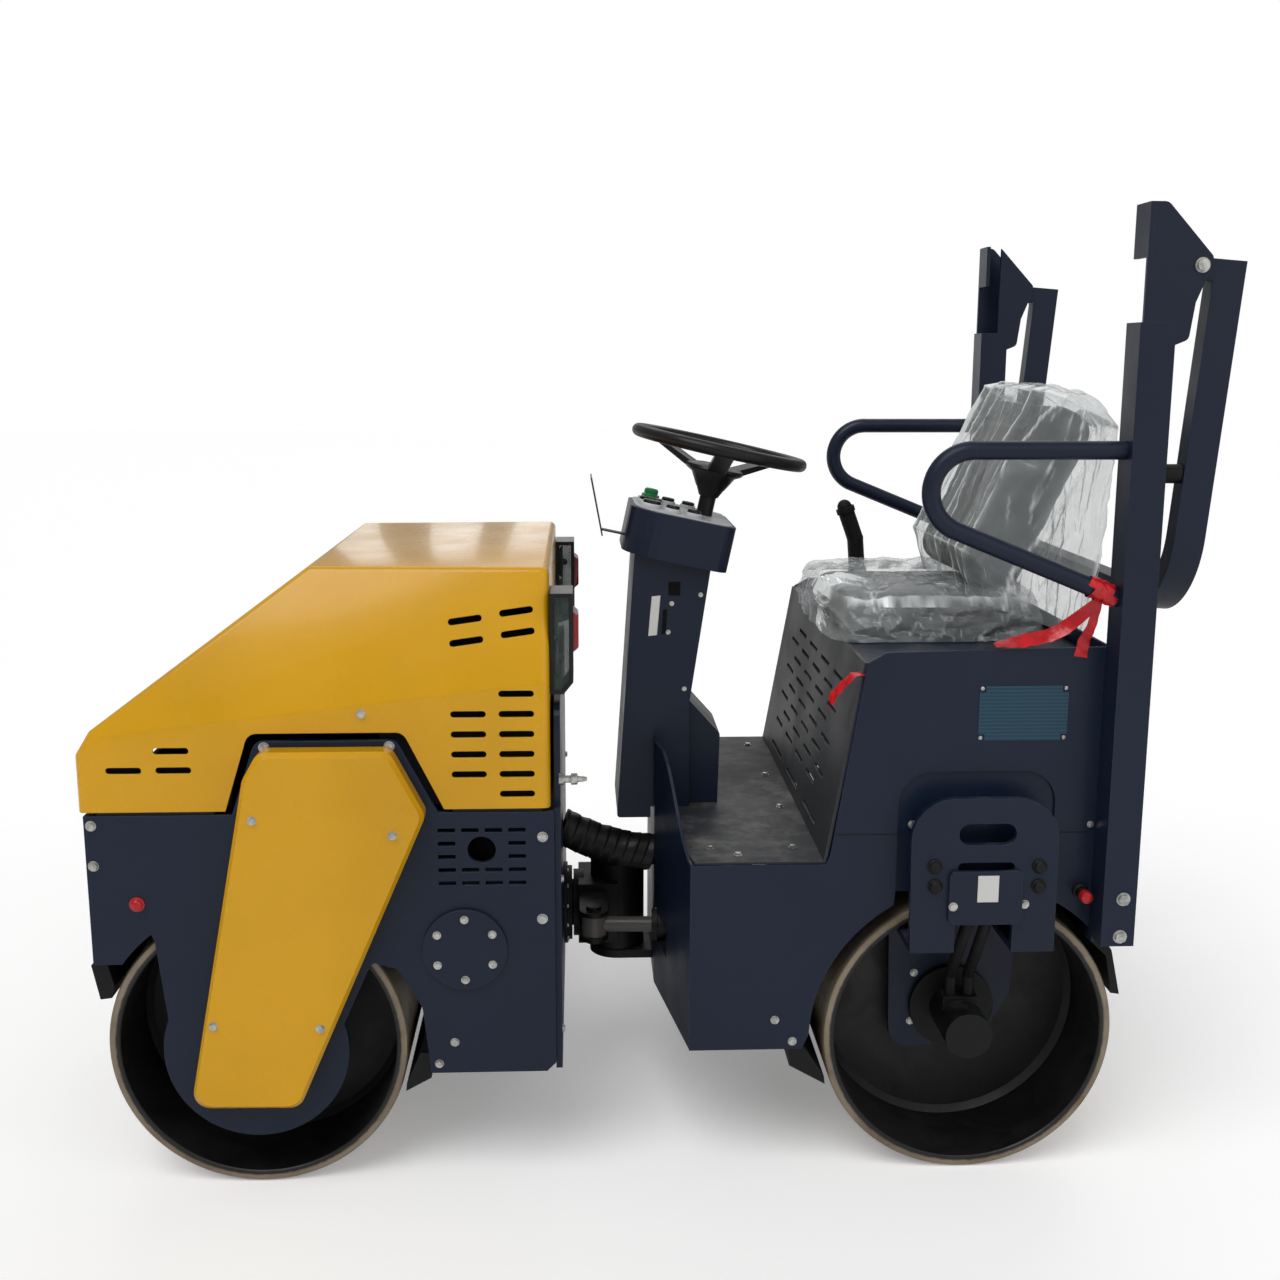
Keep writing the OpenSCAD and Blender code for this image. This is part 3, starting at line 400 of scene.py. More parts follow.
class Tree:
    """A Geometry Nodes tree with named inputs, built node by node."""

    def __init__(self, name, **inputs):
        self.group = bpy.data.node_groups.new(name, "GeometryNodeTree")
        face = self.group.interface
        face.new_socket("Geometry", in_out="INPUT", socket_type="NodeSocketGeometry")
        self.keys = {}
        for label, value in inputs.items():
            kind = "NodeSocketMaterial" if isinstance(value, bpy.types.Material) else "NodeSocketFloat"
            self.keys[label] = (face.new_socket(label, in_out="INPUT", socket_type=kind).identifier, value)
        face.new_socket("Geometry", in_out="OUTPUT", socket_type="NodeSocketGeometry")
        self.entry = self.group.nodes.new("NodeGroupInput")
        self.exit = self.group.nodes.new("NodeGroupOutput")

    def given(self, label):
        return self.entry.outputs[label]

    def node(self, kind, settings=None, inputs=None, out=0):
        node = self.group.nodes.new(kind)
        for key, value in (settings or {}).items():
            setattr(node, key, value)
        for key, value in (inputs or {}).items():
            for v in value if isinstance(value, list) else [value]:
                if isinstance(v, bpy.types.NodeSocket):
                    self.group.links.new(v, node.inputs[key])
                else:
                    node.inputs[key].default_value = v
        return node.outputs[out]

    def grow(self, name, mesh):
        """Runs the tree on a mesh and returns the result as plain mesh data."""
        seed = link(bpy.data.objects.new(name + "_seed", mesh))
        run = seed.modifiers.new("grow", "NODES")
        run.node_group = self.group
        for key, value in self.keys.values():
            run[key] = value
        view = bpy.context.evaluated_depsgraph_get()
        made = bpy.data.meshes.new_from_object(seed.evaluated_get(view), depsgraph=view)
        bpy.data.objects.remove(seed)
        made.name = name
        made.materials.clear()
        return made


bolt_tree = Tree("hex_bolts", washer=1.16, head=0.62, metal=zinc.material)
n = bolt_tree.node
washer = n("GeometryNodeMeshCylinder", {}, {
    "Vertices": 20, "Radius": bolt_tree.given("washer"), "Depth": 0.2})
hexagon = n("GeometryNodeTransform", {}, {0: n("GeometryNodeMeshCylinder", {}, {
    "Vertices": 6, "Radius": 0.95, "Depth": bolt_tree.given("head")}), "Translation": (0, 0, 0.38)})
crown = n("GeometryNodeTransform", {}, {0: n("GeometryNodeMeshCone", {}, {
    "Vertices": 16, "Radius Top": 0.5, "Radius Bottom": 0.8, "Depth": 0.08}), "Translation": (0, 0, 0.68)})
shape = n("GeometryNodeJoinGeometry", {}, {0: [washer, hexagon, crown]})
aim = n("GeometryNodeInputNamedAttribute", {"data_type": "FLOAT_VECTOR"}, {"Name": "aim"})
size = n("GeometryNodeInputNamedAttribute", {"data_type": "FLOAT"}, {"Name": "size"})
turn = n("FunctionNodeAlignRotationToVector", {"axis": "Z"}, {"Vector": aim})
spin = n("FunctionNodeRandomValue", {"data_type": "FLOAT"}, {2: 0.0, 3: 1.0, "Seed": 7}, out=1)
twist = n("FunctionNodeAxisAngleToRotation", {}, {"Axis": (0, 0, 1), "Angle": spin})
turn = n("FunctionNodeRotateRotation", {"rotation_space": "LOCAL"}, {0: turn, 1: twist})
heads = n("GeometryNodeInstanceOnPoints", {}, {"Points": bolt_tree.given("Geometry"), "Instance": shape,
                                               "Rotation": turn, "Scale": size})
heads = n("GeometryNodeSetMaterial", {}, {0: n("GeometryNodeRealizeInstances", {}, {0: heads}),
                                          "Material": bolt_tree.given("metal")})
bolt_tree.group.links.new(heads, bolt_tree.exit.inputs[0])
hex_share, near_middle = 0.86, 60


def bolts(name, body, places):
    """Bolts one body's marked places: (x, y, z, direction, washer radius).

    hex_share takes the washer's radius down to the head's. A place away from the middle is mirrored."""
    rows = []
    for x, y, z, way, r in places:
        r *= hex_share
        rows.append((at(x, y, z), Vector(way), r / 1000))
        if abs(y) > near_middle:
            rows.append((at(x, -y, z), Vector((way[0], -way[1], way[2])), r / 1000))
    mesh = bpy.data.meshes.new(name)
    mesh.from_pydata([p for p, _, _ in rows], [], [])
    mesh.attributes.new("aim", "FLOAT_VECTOR", "POINT")
    mesh.attributes.new("size", "FLOAT", "POINT")
    for k, (_, way, r) in enumerate(rows):
        mesh.attributes["aim"].data[k].vector = way
        mesh.attributes["size"].data[k].value = r
    return as_piece(name, bolt_tree.grow(name, mesh), body, "chrome_rod", zinc.material)


out, back_way, up_way = (0, 1, 0), (-1, 0, 0), (0, 0, 1)
down_way = (0, 0, -1)
plate_y, cover_y, panel_y, post_y, disc_y = 470, 515, 466, 532, 478
hood_y, hanger_y, hanger_cover_y, inner_y, column_y = 468, 522, 530.3, 314, 110
disc_x, disc_z, disc_pitch = 282, 477, 59
bearing_x, bearing_z, bearing_pitch = 95.7, 385, 83
frame_rear, panel_rear, floor_z = 103, -905, 635
bolts("front_bolts", "front_unit", [
    *[(x, plate_y, z, out, 10)
      for x, z in ((136, 692), (138, 533), (952, 722), (952, 646), (635, 866), (411, 866))],
    *[(x, plate_y, z, out, 8.5) for x, z in ((305, 290), (335, 247))],
    *[(x, cover_y, z, out, 8.5) for x, z in ((653, 743), (404, 712), (741, 351), (547, 343))],
    *[(disc_x + disc_pitch * cos(radians(a)), disc_y, disc_z + disc_pitch * sin(radians(a)), out, 8)
      for a in range(30, 390, 60)],
    *[(bearing_x, bearing_pitch * sin(radians(a)), bearing_z + bearing_pitch * cos(radians(a)), back_way, 5)
      for a in range(15, 180, 30)],
    *[(frame_rear, 440, z, back_way, 8) for z in (600, 300)],
])
bolts("hood_bolts", "hood", [(460, hood_y, 926, out, 8.5)])
bolts("rear_bolts", "rear_unit", [
    *[(x, panel_y, z, out, 8.5) for x, z in ((-549, 706), (-300, 322), (-334, 278))],
    (-884, panel_y, 703, out, 6.5),
    *[(x, post_y, z, out, 13) for x, z in ((-930, 580), (-928, 507))],
    (-615, hanger_cover_y, 569, out, 8.5), (-750, hanger_y, 569, out, 8.5),
    *[(x, inner_y, z, out, 8) for x, z in ((-600, 346), (-712, 344), (-596, 243))],
    *[(x, column_y, z, out, 5) for x, z in ((-122, 1065), (-115, 1006), (-181, 1083), (-149, 887))],
    (-993, post_y, 1712, out, 13),
    *[(x, y, floor_z, up_way, 8) for x, y in ((-180, 380), (-340, 380), (-350, 120), (-230, 420))],
    *[(panel_rear, y, z, back_way, 7) for y in (440, 220) for z in (560, 1000)],
    (-77, 100, 1139, down_way, 6), (-183, 100, 1117, down_way, 6), (-790, 240, 1022, out, 8),
])

# Small dark and red fittings: rubber buffers in the hanger plates, a red lamp cap on each front plate
# and a red-ended plug on each rear panel.
buffer_rubber = paint("buffer_rubber", rgb(16, 16, 17), rgb(38, 38, 39), 0.45, 0.0, peel=0.2, dirt=0.3)
red_cap = paint("red_cap", rgb(176, 20, 26), rgb(206, 60, 60), 0.25, 0.4, dirt=0.1)


def knob(bm, place, way, profile, steps=28):
    """Adds a turned button that stands on a place; profile is (radius, height) in millimetres."""
    return turned(bm, [(r / 1000, h / 1000) for r, h in profile], facing(place, way), steps, closed=False)


def sides(y):
    """A distance to the left and to the right, each with its sign."""
    return ((y, 1), (-y, -1))


button = [(0, -1), (13, -1), (13.5, 3), (12.5, 4), (11.5, 4.2), (11.2, 8), (9, 11), (4, 12), (0, 12)]
bm = bmesh.new()
for y, s in sides(hanger_y):
    for x, z in ((-580, 644), (-582, 606), (-774, 642), (-774, 604)):
        knob(bm, at(x, y, z), (0, s, 0), button)
as_piece("hanger_buffers", bm, "rear_unit", "rubber", buffer_rubber)
plug_x, plug_z, socket_deep = -872, 573, 26
socket = [(0, 0), (15, 0), (15, 6), (11, 8), (11, socket_deep), (0, socket_deep)]
bm = bmesh.new()
for y, s in sides(panel_y):
    knob(bm, at(plug_x, y, plug_z), (0, s, 0), socket)
as_piece("plug_sockets", bm, "rear_unit", "rubber", buffer_rubber)
bm = bmesh.new()
for y, s in sides(panel_y + socket_deep):
    knob(bm, at(plug_x, y, plug_z), (0, s, 0), [(0, 0), (11.5, 0), (11.8, 12), (10.5, 16), (6, 18), (0, 18)])
as_piece("plug_caps", bm, "rear_unit", "black_plastic", red_cap)
red_lamp_x, red_lamp_z = 878, 572
red_dome = [(0, 0), (14, 0), (14, 3), (11, 4), (10, 8), (6, 11), (0, 12)]
bm = bmesh.new()
for y, s in sides(plate_y):
    knob(bm, at(red_lamp_x, y, red_lamp_z), (0, s, 0), red_dome)
as_piece("front_red_lamps", bm, "front_unit", "black_plastic", red_cap)

# Blank plates: a dark anodised data plate with four rivets on each rear panel, and white stickers glued to
# the hanger covers and the console. Thin dark lines mark where the sheets of a rear panel meet.
label_white = paint("label_white", rgb(214, 214, 210), rgb(226, 226, 224), 0.4, 0.1, dirt=0.3)
plate_blue = Finish("data_plate")
ruled = plate_blue.node("ShaderNodeTexWave", {"wave_type": "BANDS", "bands_direction": "Z"},
                        {"Vector": plate_blue.place(), "Scale": 46, "Distortion": 0})
brushed = plate_blue.noise(120, 3, 0.6, (9, 1, 1))
plate_blue.set(Base_Color=plate_blue.mix(plate_blue.ramp(ruled, 0.80, 0.97) * 0.25,
                                         rgb(34, 66, 82), rgb(84, 116, 128)),
               Metallic=0.5, Roughness=plate_blue.ramp(brushed, 0.3, 0.7, 0.3, 0.5))


def plate(bm, corners, way, lift):
    """Adds a thin plate from its outline (places in order) with its outside along a direction."""
    way = Vector(way) * lift / 1000
    low = [bm.verts.new(c) for c in corners]
    top = [bm.verts.new(c + way) for c in corners]
    bm.faces.new(top)
    bm.faces.new(low[::-1])
    for k in range(len(low)):
        m = (k + 1) % len(low)
        bm.faces.new((low[k], low[m], top[m], top[k]))
    bmesh.ops.recalc_face_normals(bm, faces=bm.faces)
    return bm


bm = bmesh.new()
notch, rivet_in = 12, 5
x0, x1, z0, z1 = -829, -664, 866, 969
a0, a1, b0, b1 = x0 + notch, x1 - notch, z0 + notch, z1 - notch
notched = ((a0, z0), (a1, z0), (a1, b0), (x1, b0), (x1, b1), (a1, b1),
           (a1, z1), (a0, z1), (a0, b1), (x0, b1), (x0, b0), (a0, b0))
for y, s in sides(panel_y + 0.2):
    plate(bm, [at(x, y, z) for x, z in notched], (0, s, 0), 1.0)
as_piece("data_plates", bm, "rear_unit", "blue_grey_paint", plate_blue.material)
bm = bmesh.new()
for y, s in sides(panel_y):
    for x in (x0 + rivet_in, x1 - rivet_in):
        for z in (z0 + rivet_in, z1 - rivet_in):
            knob(bm, at(x, y, z), (0, s, 0), [(0, 0), (4, 0), (3.6, 1.6), (2, 2.6), (0, 3)], 14)
as_piece("data_plate_rivets", bm, "rear_unit", "chrome_rod", zinc.material)
bm = bmesh.new()
sticker, stuck_y = 0.5, column_y + 0.2
label = ((-698, 577), (-659, 577), (-659, 628), (-698, 628))
for y, s in sides(hanger_cover_y + 0.1):
    plate(bm, [at(x, y, z) for x, z in label], (0, s, 0), sticker)
plate(bm, [at(x, stuck_y, z) for x, z in ((-92, 1000), (-74, 998), (-81, 1080), (-99, 1082))], out, sticker)
as_piece("blank_labels", bm, "rear_unit", "silver_panel", label_white)
bm = bmesh.new()
seam_low, seam_high = 687, 689
for y, s in sides(panel_y + 0.1):
    for a, b in ((-533, -404), (-896, -812)):
        line = ((a, seam_low), (b, seam_low), (b, seam_high), (a, seam_high))
        plate(bm, [at(x, y, z) for x, z in line], (0, s, 0), 0.3)
as_piece("panel_joint_lines", bm, "rear_unit", "black_plastic", buffer_rubber)

# Lamps: a black box on each side of the hood's rear edge, glazed on both sides, with a bright dish and
# bulbs inside and a red tail lens facing the driver's place.
lamp_y, hood_rear, tail_deep, dish_heights = 385, 121, 43, (1010, 1084)
chrome = paint("chrome_plate", rgb(205, 207, 210), rgb(225, 226, 228), 0.12, 0.0, peel=0.03, dirt=0.08)
red_lens = paint("red_lens", rgb(150, 14, 18), rgb(200, 60, 58), 0.10, 0.6, peel=0.02, dirt=0.05)
glass = Finish("clear_lens")
glass.set(Base_Color=glass.mix(glass.noise(8, 3), rgb(30, 44, 40), rgb(62, 80, 74)), IOR=1.45,
          Roughness=glass.ramp(glass.noise(30), 0.3, 0.7, 0.03, 0.10),
          Alpha=glass.ramp(glass.noise(12, 3), 0.3, 0.7, 0.36, 0.52))


def part_of(node, name, body, slot, finish, wanted):
    """A copy of those solids of a node whose middles are wanted."""
    bm = bmesh.new()
    bm.from_mesh(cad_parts[node].data)
    bmesh.ops.remove_doubles(bm, verts=bm.verts, dist=weld)
    left = set(bm.faces)
    spare = []
    while left:
        island, edge = set(), [left.pop()]
        while edge:
            face = edge.pop()
            island.add(face)
            near = {f for v in face.verts for f in v.link_faces if f in left}
            left -= near
            edge += near
        middle = sum((f.calc_center_median() for f in island), Vector()) / len(island)
        if not wanted(middle):
            spare += island
    bmesh.ops.delete(bm, geom=spare, context="FACES")
    return as_piece(name, bm, body, slot, finish)


tail_at = at(hood_rear - tail_deep, 0, 0).x
lamp_panes = part_of("lamp_lenses", "lamp_panes", "hood", "clear_lens", glass.material,
                     lambda p: p.x > tail_at)
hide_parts("lamp_lenses")
part_of("lamp_lenses", "tail_lenses", "hood", "clear_lens", red_lens, lambda p: p.x < tail_at)
dish = [(0, 3), (10, 2), (30, 6), (38, 12), (40, 14), (38, 14), (28, 8), (0, 5)]
bulb = [(0, 4), (9, 4), (9, 12), (6, 13), (8, 18), (6.5, 23), (3, 25), (0, 25.5)]
bm = bmesh.new()
for y, s in sides(lamp_y):
    for z in dish_heights:
        knob(bm, at(hood_rear - 2, y, z), back_way, dish, 40)
        knob(bm, at(hood_rear - 2, y, z), back_way, bulb)
as_piece("lamp_dishes", bm, "hood", "chrome_rod", chrome)

# Hood slots: thin black sheets inside the hood's sheet behind the vent slots, a painted shade that darkens
# the slots, upright below its bend and leaning with the sheet above it.
painted_shade = paint("black_painted_shade", rgb(8, 8, 9), rgb(12, 12, 12), 0.9, 0.0, peel=0.6, dirt=0.1)
bm = bmesh.new()
shade_sheet_y, shade_sheet_thick = 455, 3
bend_z, shade_sheet_top, lean_in = 905, 1095, 62
rear_end, rear_front = 132, 430
for y, s in sides(shade_sheet_y):
    for x0, x1, z0, z1 in ((rear_end, rear_front, 752, 900), (700, 945, 752, 850)):
        plate(bm, [at(x, y, z) for x, z in ((x0, z0), (x1, z0), (x1, z1), (x0, z1))], (0, -s, 0), shade_sheet_thick)
    leaning = y - s * lean_in
    plate(bm, [at(rear_end, y, bend_z), at(rear_front, y, bend_z), at(rear_front, leaning, shade_sheet_top),
               at(rear_end, leaning, shade_sheet_top)], (0, -s, 0), shade_sheet_thick)
as_piece("hood_slot_shade", bm, "hood", "black_plastic", painted_shade)

# Driver's seat: foam pads in black vinyl, a cushion on the base and a leaning back, with a raised middle
# panel and a pressed seam round it. Both are still in clear packing film.
vinyl = Finish("black_vinyl")
grain = vinyl.node("ShaderNodeTexVoronoi", {}, {"Vector": vinyl.place(), "Scale": 420.0})
vinyl.set(Base_Color=vinyl.mix(vinyl.ramp(vinyl.noise(5, 4), 0.35, 0.7), rgb(24, 24, 26), rgb(34, 34, 37)),
          Roughness=vinyl.ramp(vinyl.noise(9, 3), 0.3, 0.7, 0.38, 0.52), Specular_IOR_Level=0.4,
          Normal=vinyl.bump(grain, 0.10, 0.0004))
cushion_frame = Matrix.Translation(at(-640, 0, 1021.6))
back_frame = Matrix.Translation(at(-765, 0, 1126.3)) @ Matrix.Rotation(radians(-25), 4, "Y")
cushion_half, cushion_top = Vector((0.185, 0.240)), 0.0644
back_top, back_half = 0.371, 0.056


def rounded_box(half, height, r, cell):
    """A closed pad on its own base: half sizes and height in metres, corner radius r, points every cell."""
    bm = bmesh.new()
    bmesh.ops.create_cube(bm, size=1)
    cuts = max(2, int(2 * max(half) / cell))
    bmesh.ops.subdivide_edges(bm, edges=bm.edges[:], cuts=cuts, use_grid_fill=True)
    for v in bm.verts:
        p = Vector((v.co.x * 2 * half[0], v.co.y * 2 * half[1], (v.co.z + 0.5) * height))
        inner = Vector((max(-half[0] + r, min(half[0] - r, p.x)), max(-half[1] + r, min(half[1] - r, p.y)),
                        max(r, min(height - r, p.z))))
        reach = p - inner
        v.co = inner + reach.normalized() * r if reach.length > 1e-6 else p
    return bm


def swell(bm, cap, keep, pressure=4.0, steps=20, voxel=0.006):
    """Blows a pad up as cloth and holds each point within cap metres of where it started."""
    mesh = bpy.data.meshes.new("pad")
    bm.to_mesh(mesh)
    bm.free()
    pad = link(bpy.data.objects.new("pad", mesh))
    remesh = pad.modifiers.new("remesh", "REMESH")
    remesh.mode, remesh.voxel_size = "VOXEL", voxel
    view = bpy.context.evaluated_depsgraph_get()
    mesh = bpy.data.meshes.new_from_object(pad.evaluated_get(view), depsgraph=view)
    pad.modifiers.clear()
    pad.data = mesh
    start = [v.co.copy() for v in mesh.vertices]
    cloth = pad.modifiers.new("cloth", "CLOTH")
    cloth.settings.use_pressure = True
    cloth.settings.uniform_pressure_force = pressure
    cloth.settings.effector_weights.gravity = 0
    cloth.settings.quality = 4
    for k in range(1, steps + 1):
        scene.frame_set(k)
    view = bpy.context.evaluated_depsgraph_get()
    done = [v.co.copy() for v in pad.evaluated_get(view).data.vertices]
    pad.modifiers.clear()
    scene.frame_set(1)
    made = bmesh.new()
    made.from_mesh(mesh)
    bpy.data.objects.remove(pad)
    for v, a, b in zip(made.verts, start, done):
        move = b - a
        v.co = a + move * min(1, cap / max(move.length, 1e-9)) * keep(a)
    bmesh.ops.smooth_vert(made, verts=made.verts, factor=0.5,
                          use_axis_x=True, use_axis_y=True, use_axis_z=True)
    made.normal_update()
    return made


def seam(bm, half, groove):
    """Presses a seam into a pad's upper face along a rectangle, and lifts the panel inside it."""
    groove_half, crown, crown_run, top_face = 0.009, 0.006, 0.05, 0.35
    for v in bm.verts:
        if v.normal.z > top_face:
            off = max(abs(v.co.x) - half[0], abs(v.co.y) - half[1])
            if abs(off) < groove_half:
                v.co.z -= groove * (1 - (off / groove_half) ** 2)
            elif off < 0:
                v.co.z += crown * min(1, -off / crown_run)


def firm_below(p):
    """How free a cushion's point is to swell: not at all at its base."""
    base, soft = 0.012, 0.03
    return max(0.0, min(1.0, (p.z - base) / soft))


pad_cell = 0.012
cushion_core, cushion_h, cushion_r, cushion_swell = (0.177, 0.231), 0.058, 0.022, 0.008
cushion_panel, cushion_groove = (0.120, 0.160), 0.006
pad = swell(rounded_box(cushion_core, cushion_h, cushion_r, pad_cell), cushion_swell, firm_below)
seam(pad, cushion_panel, cushion_groove)
pad.transform(cushion_frame)
cushion = as_piece("cushion_pad", pad, "rear_unit", "black_vinyl", vinyl.material, smooth=60)
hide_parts("seat_cushion")
back_core, back_h, back_r, back_swell = (0.197, 0.226), 0.100, 0.034, 0.009
back_panel, back_groove, back_middle = (0.135, 0.150), 0.007, (-0.034, 0, 0.1655)
pad = swell(rounded_box(back_core, back_h, back_r, pad_cell), back_swell, lambda p: 1.0)
seam(pad, back_panel, back_groove)
pad.transform(back_frame @ Matrix.Translation(back_middle) @ Matrix.Rotation(radians(90), 4, "Y"))
back_pad = as_piece("back_pad", pad, "rear_unit", "black_vinyl", vinyl.material, smooth=60)
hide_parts("seat_back")

# Packing film: thin clear bags, one pulled over the cushion and one over the back, crumpled into flat
# facets with hard creases, gathered at a corner and open underneath, where they are tucked in.
film = Finish("packing_film")
crease_glint = film.node("ShaderNodeAttribute", {"attribute_name": "crease_glint"}, out="Fac")
veil = film.node("ShaderNodeAttribute", {"attribute_name": "veil"}, out="Fac")
# Creases are whiter and more opaque than the flat film: a painted highlight along each crease.
film.set(Base_Color=film.mix(crease_glint, rgb(196, 203, 203), rgb(246, 250, 250)),
         Roughness=film.ramp(film.noise(40, 3), 0.3, 0.7, 0.08, 0.20), Specular_IOR_Level=1.0,
         Alpha=(veil * 0.40 + film.ramp(crease_glint, 0.18, 0.8) * 0.58 + 0.11).math("MINIMUM", 0.92))
film_corner, sharp_crease, film_seed = 0.045, 1.1, 7
noise.seed_set(film_seed)


def facets(p, size, drag=(1, 1, 1)):
    """Height of crumpled film at a place, from 0 to about 1, and a value of its own for each facet."""
    q = Vector((p.x * drag[0], p.y * drag[1], p.z * drag[2])) / size
    q += noise.noise_vector(q * 0.6) * 0.5
    near, where = noise.voronoi(q, distance_metric="MANHATTAN")
    return min(1.0, near[0]), 0.5 + 0.5 * noise.noise(where[0] * 5.3)


def bag(name, rings, around, shape, body):
    """A film bag, open below: shape(u, v) gives a place and its veil for turns u and depth v, 0 to 1."""
    bm = bmesh.new()
    veils = bm.verts.layers.float.new("veil")
    grid = []
    for j in range(rings + 1):
        row = []
        for k in range(around):
            p, c = shape(k / around, j / rings)
            v = bm.verts.new(p)
            v[veils] = c
            row.append(v)
        grid.append(row)
    for a, b in zip(grid, grid[1:]):
        for k in range(around):
            m = (k + 1) % around
            bm.faces.new((a[k], b[k], b[m], a[m]))
    bmesh.ops.remove_doubles(bm, verts=bm.verts, dist=1e-5)
    bmesh.ops.recalc_face_normals(bm, faces=bm.faces)
    # Each point's sharpest bend sets how strongly the painted crease highlight shows there.
    crease_glints = bm.verts.layers.float.new("crease_glint")
    for v in bm.verts:
        bend = max((e.calc_face_angle(0.0) for e in v.link_edges), default=0.0)
        v[crease_glints] = min(1.0, bend / sharp_crease)
    obj = as_piece(name, bm, body, "clear_lens", film.material, smooth=24)
    return obj


def loop(u, hx, hy, r):
    """A point on a rounded rectangle, and the way out of it there."""
    spans = [2 * (hy - r), pi * r / 2, 2 * (hx - r), pi * r / 2] * 2
    s = u * sum(spans)
    quarter = 0
    while s > spans[quarter] and quarter < 7:
        s -= spans[quarter]
        quarter += 1
    turn = Matrix.Rotation(pi / 2 * (quarter // 2), 3, "Z")
    long, wide = (hx, hy) if quarter // 2 % 2 == 0 else (hy, hx)
    if quarter % 2 == 0:
        return turn @ Vector((long, -wide + r + s, 0)), turn @ Vector((1, 0, 0))
    way = Vector((cos(s / r), sin(s / r), 0))
    return turn @ (Vector((long - r, wide - r, 0)) + r * way), turn @ way


def cushion_film(u, v):
    """The cushion's bag: its top out to the edge, then a skirt, with a gathered tuft at the front."""
    half, edge, skirt = cushion_half + Vector((0.003, 0.006)), 0.62, 0.008
    rim, way = loop(u, *half, film_corner)
    if v < edge:
        k = v / edge
        p = rim * k ** 0.8 + Vector((0, 0, cushion_top + 0.008 - 0.012 * max(0, (k - 0.8) / 0.2) ** 2))
        way = (Vector((0, 0, 1)) + way * max(0, k - 0.8) * 4).normalized()
    else:
        t = (v - edge) / (1 - edge)
        p = rim + way * skirt * t + Vector((0, 0, cushion_top - 0.004 - (cushion_top + 0.004) * t))
    big, tone = facets(p, 0.11, (1.0, 0.8, 1.5))
    mid, tint = facets(p + Vector((3, 1, 2)), 0.045)
    fine, _ = facets(p + Vector((1, 7, 4)), 0.02)
    tuft_at, tuft_r, tuft_way = Vector((0.180, 0.12, 0.05)), 0.085, Vector((0.8, 0.2, 0.7))
    tuft = max(0.0, 1 - (p - tuft_at).length / tuft_r)
    fan = abs(sin(8 * atan2(p.z - 0.03, p.y - 0.12)))
    p = p + way * (0.014 * big + 0.008 * mid + 0.003 * fine) + tuft_way * tuft * (0.006 + 0.026 * fan)
    return cushion_frame @ p, min(1.0, 0.55 * tone + 0.35 * tint + 0.5 * tuft)


def back_film(u, v):
    """The back's bag: its cap, then folds that hang down the pad and drop straight behind it."""
    cap, high, tail = 0.14, back_top + 0.006, 0.02
    t = max(0.0, (v - cap) / (1 - cap))
    wide = 0.95 + 0.07 * t
    rim, way = loop(u, back_half + 0.006, 0.243 * wide, film_corner)
    behind = max(0.0, min(1.0, (1 - rim.x / back_half) / 2))
    if v < cap:
        k = v / cap
        p = Vector((rim.x * sin(k * pi / 2), rim.y * (0.9 + 0.1 * k), high + 0.006 - 0.016 * k ** 2))
        way = Vector((0, 0, 1))
    else:
        drop = t * (high + 0.045 - tail * behind)
        loose = max(0.0, drop - high + 0.03)
        p = rim + Vector((-0.36 * drop * behind ** 1.5 - 0.9 * loose * (1 - behind), 0, high - 0.010 - drop))
    ridge = (1 - abs(noise.noise(Vector((u * 13 + 0.8 * t, 0.9 * t, 3.0))))) ** 6
    pleat = (1 - abs(noise.noise(Vector((u * 31 - t, 2.2 * t, 1.0))))) ** 5
    big, tone = facets(p, 0.13, (1, 1, 0.5))
    mid, tint = facets(p + Vector((5, 2, 1)), 0.055, (1, 1, 0.7))
    fine, _ = facets(p + Vector((2, 9, 3)), 0.024)
    slack = 0.75 + 0.25 * behind if v > cap else 0.4
    p = p + way * slack * (0.014 * ridge + 0.005 * pleat + 0.012 * big + 0.007 * mid + 0.002 * fine)
    return back_frame @ (p + Vector((0.014, 0, 0))), min(1.0, 0.55 * tone + 0.35 * tint + 0.12 * ridge)


bag("cushion_film", 90, 330, cushion_film, "rear_unit")
bag("back_film", 90, 300, back_film, "rear_unit")

# Red tape: a thin plastic ribbon, wound three times round the left armrest's lower end and knotted, with
# loose tails over the side panel's edge. A torn piece of it lies over that panel's front corner.
tape = Finish("red_tape")
tape.set(Base_Color=tape.mix(tape.ramp(tape.noise(25, 3), 0.3, 0.7), rgb(214, 22, 34), rgb(176, 12, 24)),
         Roughness=tape.ramp(tape.noise(14, 3), 0.3, 0.7, 0.22, 0.38),
         Normal=tape.bump(tape.noise(70, 3), 0.4, 0.002))


def ribbon(name, path, widths, ways):
    """A flat ribbon along a smooth path of places; ways are its face directions there."""
    rows = []
    steps, ripple, ripple_run = 8, 0.0014, 0.004
    places = [path[0], *path, path[-1]]
    for k in range(len(path) - 1):
        a, b, c, d = places[k:k + 4]
        for m in range(steps + (k == len(path) - 2)):
            t = m / steps
            p = 0.5 * (2 * b + (c - a) * t + (2 * a - 5 * b + 4 * c - d) * t * t
                       + (3 * b - a - 3 * c + d) * t ** 3)
            way = ways[k].lerp(ways[k + 1], t).normalized()
            rows.append((p, way, widths[k] * (1 - t) + widths[k + 1] * t))
    bm = bmesh.new()
    lines, run = [], 0.0
    for k, (p, way, w) in enumerate(rows):
        run += (p - rows[max(k - 1, 0)][0]).length
        along = (rows[min(k + 1, len(rows) - 1)][0] - rows[max(k - 1, 0)][0]).normalized()
        across = along.cross(way).normalized()
        lines.append([bm.verts.new(p + across * w * s + way * ripple * sin(run / ripple_run + 5 * s))
                      for s in (-0.5, -0.17, 0.17, 0.5)])
    for a, b in zip(lines, lines[1:]):
        for k in range(3):
            bm.faces.new((a[k], a[k + 1], b[k + 1], b[k]))
    obj = as_piece(name, bm, "rear_unit", "black_plastic", tape.material, smooth=50)
    return obj


